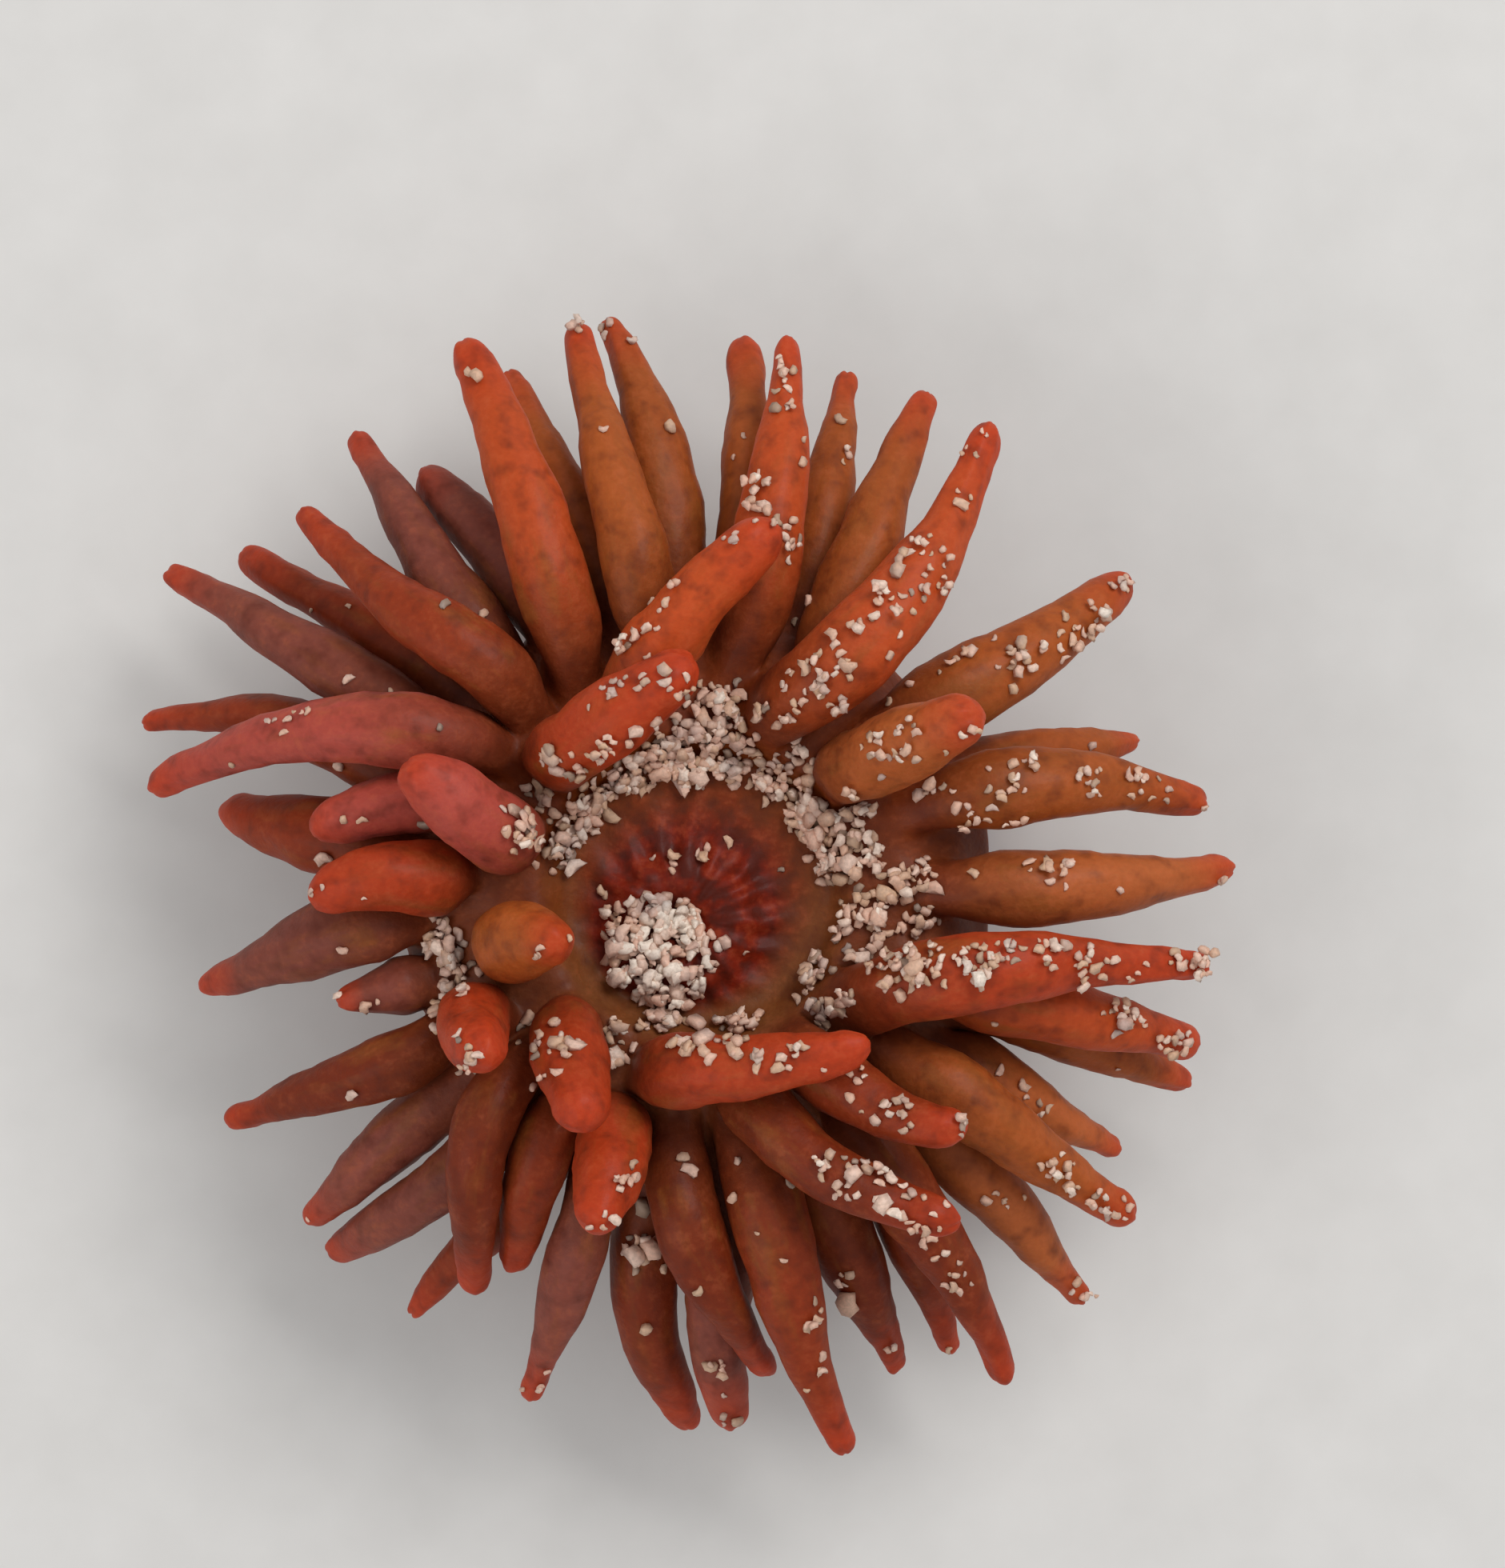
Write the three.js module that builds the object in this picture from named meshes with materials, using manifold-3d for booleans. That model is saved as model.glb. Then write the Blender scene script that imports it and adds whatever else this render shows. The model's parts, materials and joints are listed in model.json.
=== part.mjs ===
// A beadlet anemone, Actinia equina, as a still, life-size model of the open animal.
//
// The animal stands on its flat pedal disc and rises as a smooth column to a collar with a ring of
// beads, the acrorhagi. Over the collar rolls the oral disc. Its rim is three sloping bands that carry
// the tentacles, and its dished middle carries the mouth.
//
// Millimetres, +Z up. The origin is the centre of the underside of the pedal disc. A bearing is an angle
// in degrees from +X towards +Y, and a reach is a distance from the Z axis.
import * as THREE from "three";
import { mergeVertices } from "three/addons/utils/BufferGeometryUtils.js";
import Module from "manifold-3d";

const wasm = await Module();
wasm.setup();

// ---------------------------------------------------------------- body sizes
const TURNED_SIDES = 40;

const PEDAL_TOP = 2.2;
const PEDAL_LOBES = 0.035; // how far the foot's edge wanders, as a share of its radius
// The foot's rounded edge as [reach, height], from the ground up towards the column.
const FOOT_EDGE = [
  [14.4, 0],
  [14.5, 0.5],
  [14.1, 1.1],
  [13.5, 1.7],
];

const COLUMN_FOOT_RADIUS = 13.0;
const COLUMN_WAIST_RADIUS = 12.5;
const COLUMN_TOP_RADIUS = 13.1;
const COLUMN_TOP = 9.8;

const PARAPET_RADIUS = 13.9;
const PARAPET_FOOT = 10.3;
const PARAPET_TOP = 10.7;
const GROOVE_RADIUS = 13.4;
const GROOVE_FOOT = 11.1;
const GROOVE_TOP = 11.7;
const COLLAR_TOP_RADIUS = 14.2;
const COLLAR_TOP = 12.2;

const BEAD_COUNT = 24;
const BEAD_RADIUS = 0.72;
const BEAD_REACH = 13.75;
const BEAD_HEIGHT = 11.45;

// The rim's profile from its outer foot to its crest, as [reach, height]: each pair of neighbours is a
// band that carries one ring of tentacles.
const RIM = [
  [14.9, 12.4],
  [13.3, 14.9],
  [10.8, 16.6],
  [8.0, 17.2],
];
// The dished middle of the oral disc, from the crest to the mouth's seat.
const DISH = [
  [7.6, 16.9],
  [6.9, 16.1],
  [6.3, 15.5],
];
const MOUTH_SEAT = 15.5;
const MOUTH_SIDES = 24;
const MOUTH_CENTRE = [-0.7, -1.7];
const MOUTH_LENGTH_RADIUS = 4.4;
const MOUTH_WIDTH_RADIUS = 3.9;
const MOUTH_BEARING = 35;

// ---------------------------------------------------------------- tentacle sizes
const TENTACLE_SIDES = 8;
const ROOT_LIFT = 0.12; // a flat root stands this far off its sloping band
const CLEARANCE = 0.3; // least gap between two tentacles
const SLIM_TIP = 0.36; // tip diameter over girth, for a tentacle at full stretch
const BROAD_TIP = 0.52; // for one that ends in a thicker knob
const ROUND_TIP = 0.6; // for one half drawn in
const BLUNT_TIP = 0.74; // and for one drawn short
const RING_PLACES = [0, 0.13, 0.28, 0.45, 0.62, 0.79, 0.955]; // shares of a tentacle's length

// One ring of tentacles to a band, outermost first. Each row is one tentacle:
// [root bearing, tip bearing, tip reach, tip height, girth, bow, tip], the bow being how far its middle
// stands to the left of the straight way from root to tip, and the tip slim unless it is named.
const RINGS = [
  {
    name: "outer",
    band: 0,
    rootDiameter: 2.4,
    rows: [
      [24, 18.4, 23.2, 9.5, 3.0, 0],
      [68, 73.6, 26.6, 9.0, 3.3, 0],
      [84, 84.8, 27.2, 9.0, 3.2, -0.9, BROAD_TIP],
      [95, 98.5, 28.6, 9.5, 4.1, -1.9],
      [107.5, 110.0, 27.4, 9.0, 3.3, 0],
      [120, 123.4, 25.1, 10.0, 3.9, 0, BROAD_TIP],
      [130, 127.0, 28.2, 8.5, 3.5, 0],
      [140, 143.7, 28.2, 7.5, 3.1, 0, BROAD_TIP],
      [150, 149.1, 30.4, 9.0, 3.6, -0.7],
      [160, 161.9, 28.2, 8.0, 3.4, -3.6],
      [187, 191.4, 25.3, 9.5, 3.9, 0],
      [199, 197.6, 18.6, 15.0, 3.3, 0, BROAD_TIP],
      [210, 206.6, 26.2, 9.0, 3.6, 0.3],
      [220.5, 220.6, 25.5, 9.0, 3.4, -0.1, BROAD_TIP],
      [231, 225.2, 25.9, 8.0, 3.4, 0.6, BROAD_TIP],
      [241.5, 236.4, 25.7, 8.0, 3.1, -0.4],
      [252, 251.9, 26.6, 9.5, 3.3, 0.2],
      [262.5, 268.0, 26.6, 8.0, 3.8, -3.0, BROAD_TIP],
      [273, 273.6, 26.9, 9.5, 3.9, -1.3, BROAD_TIP],
      [294, 292.6, 25.8, 9.0, 3.6, 0],
      [304.5, 299.0, 26.3, 8.0, 3.4, 0],
      [315, 313.2, 28.2, 9.0, 3.7, 0.5],
      [326, 327.8, 24.8, 9.0, 3.7, 0],
      [337, 338.2, 26.4, 8.5, 3.7, 0],
      [173.5, 171.0, 24.0, 9.0, 4.3, 0, BROAD_TIP],
    ],
  },
  {
    name: "middle",
    band: 1,
    rootDiameter: 2.6,
    rows: [
      [0, 1.8, 26.1, 13.0, 4.2, -0.6],
      [20, 10.2, 25.2, 13.0, 4.2, 1.7],
      [41, 35.4, 25.9, 13.0, 4.2, -1.3, BROAD_TIP],
      [61, 65.0, 26.8, 13.0, 4.0, 0.3],
      [78, 80.2, 27.3, 14.0, 3.8, -0.7],
      [102, 102.0, 28.4, 12.0, 3.9, 0.3],
      [119, 113.0, 29.0, 14.0, 4.1, -1.2, BROAD_TIP],
      [133, 136.4, 27.0, 12.0, 3.7, 1.4],
      [147, 167.6, 26.9, 12.0, 4.1, -3.2],
      [162, 171.8, 19.2, 15.0, 3.4, -1.2, BLUNT_TIP],
      [176, 180.0, 18.4, 18.5, 3.9, -2.0, BLUNT_TIP],
      [213, 217.5, 12.9, 26.0, 3.8, -0.5, BLUNT_TIP],
      [226, 240.8, 22.9, 11.0, 3.3, -0.4, BROAD_TIP],
      [239, 244.2, 21.0, 13.0, 3.3, 0, BROAD_TIP],
      [252.5, 253.6, 17.4, 23.0, 3.9, 0.2, BLUNT_TIP],
      [265.5, 278.0, 24.2, 12.5, 3.9, -1.0],
      [278.5, 284.5, 28.4, 13.0, 4.0, -0.8],
      [303, 302.6, 28.6, 12.0, 3.7, 1.5],
      [319, 322.7, 27.0, 13.0, 3.7, 0, BROAD_TIP],
      [339, 342.6, 25.7, 13.0, 4.0, 0, BROAD_TIP],
    ],
  },
  {
    name: "inner",
    band: 2,
    rootDiameter: 2.6,
    rows: [
      [40, 32.0, 16.4, 25.0, 4.1, 0, BLUNT_TIP],
      [67, 56.9, 26.6, 17.0, 4.6, -3.5],
      [113, 78.0, 18.2, 21.5, 3.9, 1.3, BLUNT_TIP],
      [138, 90.0, 11.2, 24.5, 4.1, 0, BLUNT_TIP],
      [165, 156.0, 15.6, 20.5, 4.3, 0, BLUNT_TIP],
      [197, 201.0, 7.0, 24.0, 4.0, 0.6, BLUNT_TIP],
      [227, 244.6, 12.9, 25.0, 4.1, 0.5, BLUNT_TIP],
      [259, 315.8, 11.1, 23.5, 3.8, -1.0, ROUND_TIP],
      [281, 306.8, 20.2, 22.5, 3.6, -2.6, ROUND_TIP],
      [301, 317.4, 17.6, 22.5, 3.5, -1.6, ROUND_TIP],
      [323, 351.4, 25.5, 17.0, 4.4, 2.0],
    ],
  },
];

// ---------------------------------------------------------------- colours
const flesh = (name, colour, roughness) =>
  new THREE.MeshStandardMaterial({ name, color: colour, roughness, metalness: 0 });

const COLUMN_FLESH = flesh("column_flesh", 0x7c2f1e, 0.4);
const DISC_FLESH = flesh("disc_flesh", 0x6b3a20, 0.4);
const MOUTH_FLESH = flesh("mouth_flesh", 0x5c140c, 0.35);
const BEAD_FLESH = flesh("bead_flesh", 0x3f7fc4, 0.3);
const TENTACLE_FLESH = flesh("tentacle_flesh", 0xb2472a, 0.35);

// ---------------------------------------------------------------- helpers
const radians = (degrees) => THREE.MathUtils.degToRad(degrees);
const smooth = (t) => t * t * (3 - 2 * t);

function atBearing(bearing, reach, height) {
  const angle = radians(bearing);
  return new THREE.Vector3(reach * Math.cos(angle), reach * Math.sin(angle), height);
}

function named(name, geometry, material) {
  const mesh = new THREE.Mesh(geometry, material);
  mesh.name = name;
  return mesh;
}

// A closed solid turned about +Z from a profile of [radius, height] that starts and ends on the axis.
// lobes(angle, height) scales each radius.
function turned(profile, sides = TURNED_SIDES, lobes = () => 1) {
  const points = profile.map(([radius, height]) => new THREE.Vector2(radius, height));
  const geometry = new THREE.LatheGeometry(points, sides).rotateX(Math.PI / 2);
  const position = geometry.getAttribute("position");
  for (let i = 0; i < position.count; i++) {
    const [x, y, z] = [position.getX(i), position.getY(i), position.getZ(i)];
    const scale = lobes(Math.atan2(y, x), z);
    position.setXY(i, x * scale, y * scale);
  }
  return geometry;
}

function toSolid(geometry) {
  const bare = geometry.clone().deleteAttribute("normal").deleteAttribute("uv");
  const merged = mergeVertices(bare, 1e-4);
  return new wasm.Manifold(
    new wasm.Mesh({
      numProp: 3,
      vertProperties: new Float32Array(merged.getAttribute("position").array),
      triVerts: new Uint32Array(merged.index.array),
    }),
  );
}

function toGeometry(solid) {
  const { vertProperties, triVerts } = solid.getMesh();
  return new THREE.BufferGeometry()
    .setAttribute("position", new THREE.BufferAttribute(vertProperties, 3))
    .setIndex(new THREE.BufferAttribute(triVerts, 1));
}

// ---------------------------------------------------------------- body
// The foot's edge wanders most where it meets the ground and fades out up the column.
function footLobes(angle, height) {
  const wander = 0.6 * Math.sin(3 * angle + 0.7) + 0.4 * Math.sin(5 * angle + 2.1);
  return 1 + PEDAL_LOBES * wander * Math.max(0, 1 - height / PEDAL_TOP);
}

// The flat pedal disc and the column that rises from it are one body.
function makeColumn() {
  const third = (COLUMN_TOP - PEDAL_TOP) / 3;
  const profile = [
    [0, 0],
    ...FOOT_EDGE,
    [COLUMN_FOOT_RADIUS, PEDAL_TOP],
    [COLUMN_WAIST_RADIUS, PEDAL_TOP + third],
    [COLUMN_WAIST_RADIUS, PEDAL_TOP + 2 * third],
    [COLUMN_TOP_RADIUS, COLUMN_TOP],
    [0, COLUMN_TOP],
  ];
  return named("column", turned(profile, TURNED_SIDES, footLobes), COLUMN_FLESH);
}

// The parapet's rim, the groove above it, and the beads that stand in the groove.
function makeCollar() {
  const profile = [
    [0, COLUMN_TOP],
    [COLUMN_TOP_RADIUS, COLUMN_TOP],
    [PARAPET_RADIUS, PARAPET_FOOT],
    [PARAPET_RADIUS, PARAPET_TOP],
    [GROOVE_RADIUS, GROOVE_FOOT],
    [GROOVE_RADIUS, GROOVE_TOP],
    [COLLAR_TOP_RADIUS, COLLAR_TOP],
    [0, COLLAR_TOP],
  ];
  let solid = toSolid(turned(profile));
  for (let i = 0; i < BEAD_COUNT; i++) {
    const place = atBearing((360 / BEAD_COUNT) * (i + 0.5), BEAD_REACH, BEAD_HEIGHT);
    const bead = new THREE.SphereGeometry(BEAD_RADIUS, 6, 4).translate(...place);
    solid = solid.add(toSolid(bead));
  }
  return named("collar", toGeometry(solid), BEAD_FLESH);
}

function makeOralDisc() {
  const profile = [
    [0, COLLAR_TOP],
    [COLLAR_TOP_RADIUS, COLLAR_TOP],
    ...RIM,
    ...DISH,
    [0, MOUTH_SEAT],
  ];
  return named("oral_disc", turned(profile), DISC_FLESH);
}

// Two rounded lips about a hollow that dips into the throat. The profile's reach is a share of the
// mouth's own radius.
function makeMouth() {
  const profile = [
    [0, MOUTH_SEAT],
    [1, MOUTH_SEAT],
    [0.94, MOUTH_SEAT + 0.8],
    [0.7, MOUTH_SEAT + 1.4],
    [0.45, MOUTH_SEAT + 1.2],
    [0.3, MOUTH_SEAT + 0.5],
    [0, MOUTH_SEAT + 0.3],
  ];
  const geometry = turned(profile, MOUTH_SIDES)
    .scale(MOUTH_LENGTH_RADIUS, MOUTH_WIDTH_RADIUS, 1)
    .rotateZ(radians(MOUTH_BEARING));
  const mesh = named("mouth", geometry, MOUTH_FLESH);
  mesh.position.set(MOUTH_CENTRE[0], MOUTH_CENTRE[1], 0);
  return mesh;
}

// ---------------------------------------------------------------- tentacles
const STEPS = 24; // points along a tentacle's middle line while it finds its place
const SWELL = 0.2; // share of its length over which a tentacle swells out of its root
const RISE = 0.42; // how far it first heads straight off its band, as a share of the way to its tip
const TURN = 0.6; // where on that way it is bowed most
const RISE_BOW = 0.7; // how much of its bow it has as it rises, and where it is bowed most
const TURN_BOW = 1.9;
const SAG = 0.5; // how far below the top of its rise it may turn down

// How thick a tentacle is at share t of its length: it swells out of its root, stays thick for a while,
// and narrows past its middle to a blunt tip.
function radiusAt(t, rootDiameter, girth, tipShare) {
  if (t < SWELL) return THREE.MathUtils.lerp(rootDiameter, girth, smooth(t / SWELL)) / 2;
  return THREE.MathUtils.lerp(girth, girth * tipShare, smooth((t - SWELL) / (1 - SWELL))) / 2;
}

// A tentacle's middle line before it meets its neighbours: it leaves its band square on and bends over to
// its tip, with its middle bowed to one side.
function placeTentacle(ring, row, name) {
  const [rootBearing, tipBearing, tipReach, tipHeight, girth, bow, tipShare = SLIM_TIP] = row;
  const [[outerReach, outerHeight], [innerReach, innerHeight]] = RIM.slice(ring.band, ring.band + 2);
  const reach = (outerReach + innerReach) / 2;
  const height = (outerHeight + innerHeight) / 2;
  const slope = new THREE.Vector2(innerHeight - outerHeight, outerReach - innerReach).normalize();
  const normal = atBearing(rootBearing, slope.x, slope.y);
  const root = atBearing(rootBearing, reach, height).addScaledVector(normal, ROOT_LIFT);
  const tip = atBearing(tipBearing, tipReach, tipHeight);
  const way = tip.clone().sub(root);
  const left = new THREE.Vector3(-way.y, way.x, 0).normalize();
  const rise = root.clone().addScaledVector(normal, way.length() * RISE);
  const turn = root.clone().addScaledVector(way, TURN).addScaledVector(left, bow * TURN_BOW);
  turn.z = Math.max(turn.z, rise.z - SAG);
  const curve = new THREE.CubicBezierCurve3(root, rise.addScaledVector(left, bow * RISE_BOW), turn, tip);
  const points = curve.getSpacedPoints(STEPS);
  const goals = points.map((point) => point.clone());
  const radii = points.map((_, i) => radiusAt(i / STEPS, ring.rootDiameter, girth, tipShare));
  const ahead = new THREE.Vector3(way.x, way.y, 0).normalize();
  return { name, points, goals, radii, normal, ahead, length: curve.getLength() };
}

// The body's half outline as [reach, height], from the dish over the rim and down the side, with the
// open water on the left of the way along it.
const OUTLINE = [
  ...[...DISH].reverse(),
  ...[...RIM].reverse(),
  [COLLAR_TOP_RADIUS, COLLAR_TOP],
  [PARAPET_RADIUS, COLUMN_TOP],
  [COLUMN_FOOT_RADIUS, 0],
].map(([reach, height]) => new THREE.Vector2(reach, height));

// Moves a point straight off the body until it stands at least room away from the outline.
function standOff(point, room) {
  const here = new THREE.Vector2(Math.hypot(point.x, point.y), point.z);
  let off = null;
  let outward = null;
  for (let i = 0; i + 1 < OUTLINE.length; i++) {
    const along = OUTLINE[i + 1].clone().sub(OUTLINE[i]);
    const from = here.clone().sub(OUTLINE[i]);
    const share = THREE.MathUtils.clamp(from.dot(along) / along.lengthSq(), 0, 1);
    const away = from.addScaledVector(along, -share);
    if (off && away.lengthSq() >= off.lengthSq()) continue;
    off = away;
    outward = new THREE.Vector2(-along.y, along.x).normalize();
  }
  const outside = off.dot(outward) >= 0;
  const distance = outside ? off.length() : -off.length();
  if (distance >= room) return;
  const push = (outside ? off.normalize() : outward).multiplyScalar(room - distance);
  const bearing = Math.atan2(point.y, point.x);
  point.x += push.x * Math.cos(bearing);
  point.y += push.x * Math.sin(bearing);
  point.z += push.y;
}

// Neighbouring tentacles push each other apart, chiefly up and down, until no two touch. Each line is
// drawn back to its own pose, keeps its length and stays smooth. The first two points stay in the root.
const SETTLE_ROUNDS = 460;
const LAST_PULL = 340; // after this round the tentacles are only pushed apart
const HELD_POINTS = 2;
const PLAN_PULL = 0.16; // how hard a line is drawn back over its pose, and back to its height
const HEIGHT_PULL = 0.04;
const UPRIGHT_PUSH = 2.4; // how much more two lines part up and down than sideways
const LEAST_PUSH = 0.3; // and the height between them that the push starts from
const SMOOTHING = 0.35; // how far a point moves towards the middle of its neighbours in a round
const STRETCH_PULL = 0.04; // how fast a tentacle's length follows its tip's reach
const MOST_STRETCH = 0.05;
function settle(tentacles) {
  const gap = new THREE.Vector3();
  for (let round = 0; round < SETTLE_ROUNDS; round++) {
    const ease = Math.max(0, 1 - round / LAST_PULL);
    for (const t of tentacles) {
      for (let i = HELD_POINTS; i <= STEPS; i++) {
        const [point, goal] = [t.points[i], t.goals[i]];
        point.x += (goal.x - point.x) * PLAN_PULL * ease;
        point.y += (goal.y - point.y) * PLAN_PULL * ease;
        point.z += (goal.z - point.z) * HEIGHT_PULL * ease;
      }
    }
    tentacles.forEach((a, n) => {
      for (const b of tentacles.slice(n + 1)) pushApart(a, b, gap);
    });
    for (const t of tentacles) straighten(t);
    if (ease > 0) tentacles.forEach(stretch);
  }
}

// A tentacle grows or shrinks a little so that its tip keeps its reach however its middle has been bent.
function stretch(t) {
  const short = t.goals[STEPS].clone().sub(t.points[STEPS]).dot(t.ahead);
  t.length += THREE.MathUtils.clamp(short * STRETCH_PULL, -MOST_STRETCH, MOST_STRETCH);
}

function pushApart(a, b, gap) {
  for (let i = 1; i <= STEPS; i++) {
    for (let j = 1; j <= STEPS; j++) {
      gap.subVectors(a.points[i], b.points[j]);
      const room = a.radii[i] + b.radii[j] + CLEARANCE;
      if (gap.lengthSq() >= room * room) continue;
      const deep = room - gap.length();
      gap.z = gap.z * UPRIGHT_PUSH + (gap.z < 0 ? -LEAST_PUSH : LEAST_PUSH);
      gap.setLength(deep / 2);
      if (i >= HELD_POINTS) a.points[i].add(gap);
      if (j >= HELD_POINTS) b.points[j].sub(gap);
    }
  }
}

// Smooths a line, gives each step its length again, and keeps it off the body past its first few points.
const FREE_AFTER = 4;
function straighten(t) {
  const step = t.length / STEPS;
  const middle = new THREE.Vector3();
  for (let i = HELD_POINTS; i <= STEPS; i++) {
    const [before, point, after] = [t.points[i - 1], t.points[i], t.points[i + 1]];
    if (after) point.lerp(middle.addVectors(before, after).multiplyScalar(0.5), SMOOTHING);
    const way = middle.subVectors(point, before);
    point.copy(before).addScaledVector(way, step / way.length());
    standOff(point, (t.radii[i] + CLEARANCE) * Math.min(1, (i - 1) / FREE_AFTER));
  }
}

// The faceted tube about a middle line: rings of vertices square to the line, a flat root and a domed tip.
function tubeAround({ points, radii, normal }) {
  const line = new THREE.CatmullRomCurve3(points, false, "centripetal");
  const vertices = [];
  const faces = [];
  let direction = normal.clone();
  let across = new THREE.Vector3(-normal.y, normal.x, 0).normalize();
  for (const place of RING_PLACES) {
    const centre = line.getPointAt(place);
    const radius = THREE.MathUtils.lerp(...radiiAround(radii, place));
    const ahead = place === 0 ? normal : line.getTangentAt(place);
    across.applyQuaternion(new THREE.Quaternion().setFromUnitVectors(direction, ahead)).normalize();
    direction = ahead.clone();
    const up = new THREE.Vector3().crossVectors(ahead, across);
    for (let k = 0; k < TENTACLE_SIDES; k++) {
      const angle = (2 * Math.PI * k) / TENTACLE_SIDES;
      vertices.push(
        centre
          .clone()
          .addScaledVector(across, radius * Math.cos(angle))
          .addScaledVector(up, radius * Math.sin(angle)),
      );
    }
  }
  const tip = vertices.push(line.getPointAt(1)) - 1;
  const rings = RING_PLACES.length;
  for (let k = 0; k < TENTACLE_SIDES; k++) {
    const next = (k + 1) % TENTACLE_SIDES;
    for (let ring = 0; ring < rings - 1; ring++) {
      const [low, high] = [ring * TENTACLE_SIDES, (ring + 1) * TENTACLE_SIDES];
      faces.push(low + k, low + next, high + next, low + k, high + next, high + k);
    }
    const last = (rings - 1) * TENTACLE_SIDES;
    faces.push(last + k, last + next, tip);
    if (k > 0 && next > 0) faces.push(0, next, k);
  }
  return new THREE.BufferGeometry().setFromPoints(vertices).setIndex(faces);
}

function radiiAround(radii, place) {
  const at = place * (radii.length - 1);
  const low = Math.floor(at);
  return [radii[low], radii[Math.min(low + 1, radii.length - 1)], at - low];
}

// ---------------------------------------------------------------- the whole animal
const numbered = (i) => String(i + 1).padStart(2, "0");
const tentacles = RINGS.flatMap((ring) =>
  ring.rows.map((row, i) => placeTentacle(ring, row, `tentacle_${ring.name}_${numbered(i)}`)),
);
settle(tentacles);

const anemone = new THREE.Group();
anemone.name = "beadlet_anemone";
anemone.add(makeColumn(), makeCollar(), makeOralDisc(), makeMouth());
for (const t of tentacles) anemone.add(named(t.name, tubeAround(t), TENTACLE_FLESH));

export default anemone;
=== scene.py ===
"""Beadlet anemone: a still, life-size model of the open animal, as a museum shows it.

One skin covers the animal, from the flat foot over the column, the collar of blue beads and the oral
disc to the tips of the tentacles. Sand grains cling to the disc and to some of the tentacles. The middle
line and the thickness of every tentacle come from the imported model, so the skin lies where the solids are.

Lengths are millimetres in the tables and settings below, and metres in the meshes. A bearing is an angle
in degrees from +X towards +Y, and a reach is a distance from the Z axis.
"""

import json
import math
from random import Random

import bmesh
import bpy
from bpy.props import FloatProperty, FloatVectorProperty, IntProperty, PointerProperty
from mathutils import Matrix, Vector, noise
from mathutils.bvhtree import BVHTree

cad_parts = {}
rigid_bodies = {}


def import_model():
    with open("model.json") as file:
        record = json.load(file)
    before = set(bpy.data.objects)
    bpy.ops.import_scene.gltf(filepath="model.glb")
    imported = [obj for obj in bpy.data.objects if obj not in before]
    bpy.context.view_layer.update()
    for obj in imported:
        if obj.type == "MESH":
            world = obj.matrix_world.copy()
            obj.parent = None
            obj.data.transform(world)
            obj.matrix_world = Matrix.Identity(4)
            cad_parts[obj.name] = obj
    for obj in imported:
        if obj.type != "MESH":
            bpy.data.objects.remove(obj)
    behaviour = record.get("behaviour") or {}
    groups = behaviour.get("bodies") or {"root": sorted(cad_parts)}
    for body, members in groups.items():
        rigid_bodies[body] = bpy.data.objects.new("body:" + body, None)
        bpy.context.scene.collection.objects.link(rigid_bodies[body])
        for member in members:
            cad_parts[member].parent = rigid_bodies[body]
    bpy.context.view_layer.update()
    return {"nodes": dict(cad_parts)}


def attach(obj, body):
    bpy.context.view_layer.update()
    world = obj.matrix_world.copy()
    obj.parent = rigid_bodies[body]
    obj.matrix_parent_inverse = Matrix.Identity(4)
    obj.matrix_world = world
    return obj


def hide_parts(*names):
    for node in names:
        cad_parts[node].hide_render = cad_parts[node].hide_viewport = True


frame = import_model()

bl_info = {
    "name": "Beadlet anemone",
    "version": (1, 0, 0),
    "blender": (4, 5, 0),
    "location": "View3D > Sidebar > Anemone",
    "description": "Models a beadlet anemone: its skin, the sand on it and a stage",
    "category": "Mesh",
}

MM = 0.001
FULL_TURN = 360.0

# ---------------------------------------------------------------- sizes of the body
SEGMENTS = 72
SEGMENT_TURN = FULL_TURN / SEGMENTS

# The body from the middle of its underside to the rim of the oral disc, as (reach, height), with the part
# of the body that each loop belongs to.
FOOT, COLUMN, COLLAR, RIM, DISH, LIPS = "foot", "column", "collar", "rim", "dish", "lips"
BODY_LOOPS = (
    (13.40, 0.00, FOOT),
    (14.10, 0.00, FOOT),
    (14.50, 0.40, FOOT),
    (14.15, 1.10, FOOT),
    (13.40, 1.75, COLUMN),
    (12.85, 3.20, COLUMN),
    (12.45, 6.20, COLUMN),
    (12.80, 9.00, COLUMN),
    (14.00, 10.20, COLUMN),
    (13.90, 10.85, COLLAR),
    (13.30, 11.20, COLLAR),
    (13.35, 11.70, COLLAR),
    (14.30, 12.00, RIM),
    (15.00, 12.50, RIM),
    (14.15, 13.70, RIM),
    (13.35, 14.95, RIM),
    (12.10, 15.85, RIM),
    (10.85, 16.70, RIM),
    (9.40, 17.00, RIM),
    (8.00, 17.20, RIM),
    (7.45, 16.75, DISH),
    (6.90, 16.05, DISH),
    (6.40, 15.72, DISH),
)
# The lips and the throat, as (share of the mouth's own radius, height).
LIP_LOOPS = (
    (0.99, 15.68),
    (0.86, 16.15),
    (0.66, 16.50),
    (0.44, 16.35),
    (0.27, 15.80),
    (0.15, 15.20),
)
MOUTH_CENTRE = (-0.7, -1.7)
MOUTH_LENGTH_RADIUS = 4.4
MOUTH_WIDTH_RADIUS = 3.9
MOUTH_BEARING = 35.0  # a whole number of segments
RIB_COUNT = 17
RIB_WANDER = 1.6  # how far a rib strays to either side, in radians of its wave
RIB_WANDER_SIZE = 1.5
RIB_REACH = 3.6  # nearer to the middle of the mouth than this, the ribs get shallower

# The folds and creases of a tentacle: how fast they change round it, and how long they are.
FOLD_TURN, FOLD_LENGTH = 1.4, 4.5
CREASE_TURN, CREASE_LENGTH = 0.5, 0.9
ROOT_SHARE = (0.10, 0.10)  # they start at this share of its length and fade in over this one

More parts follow.
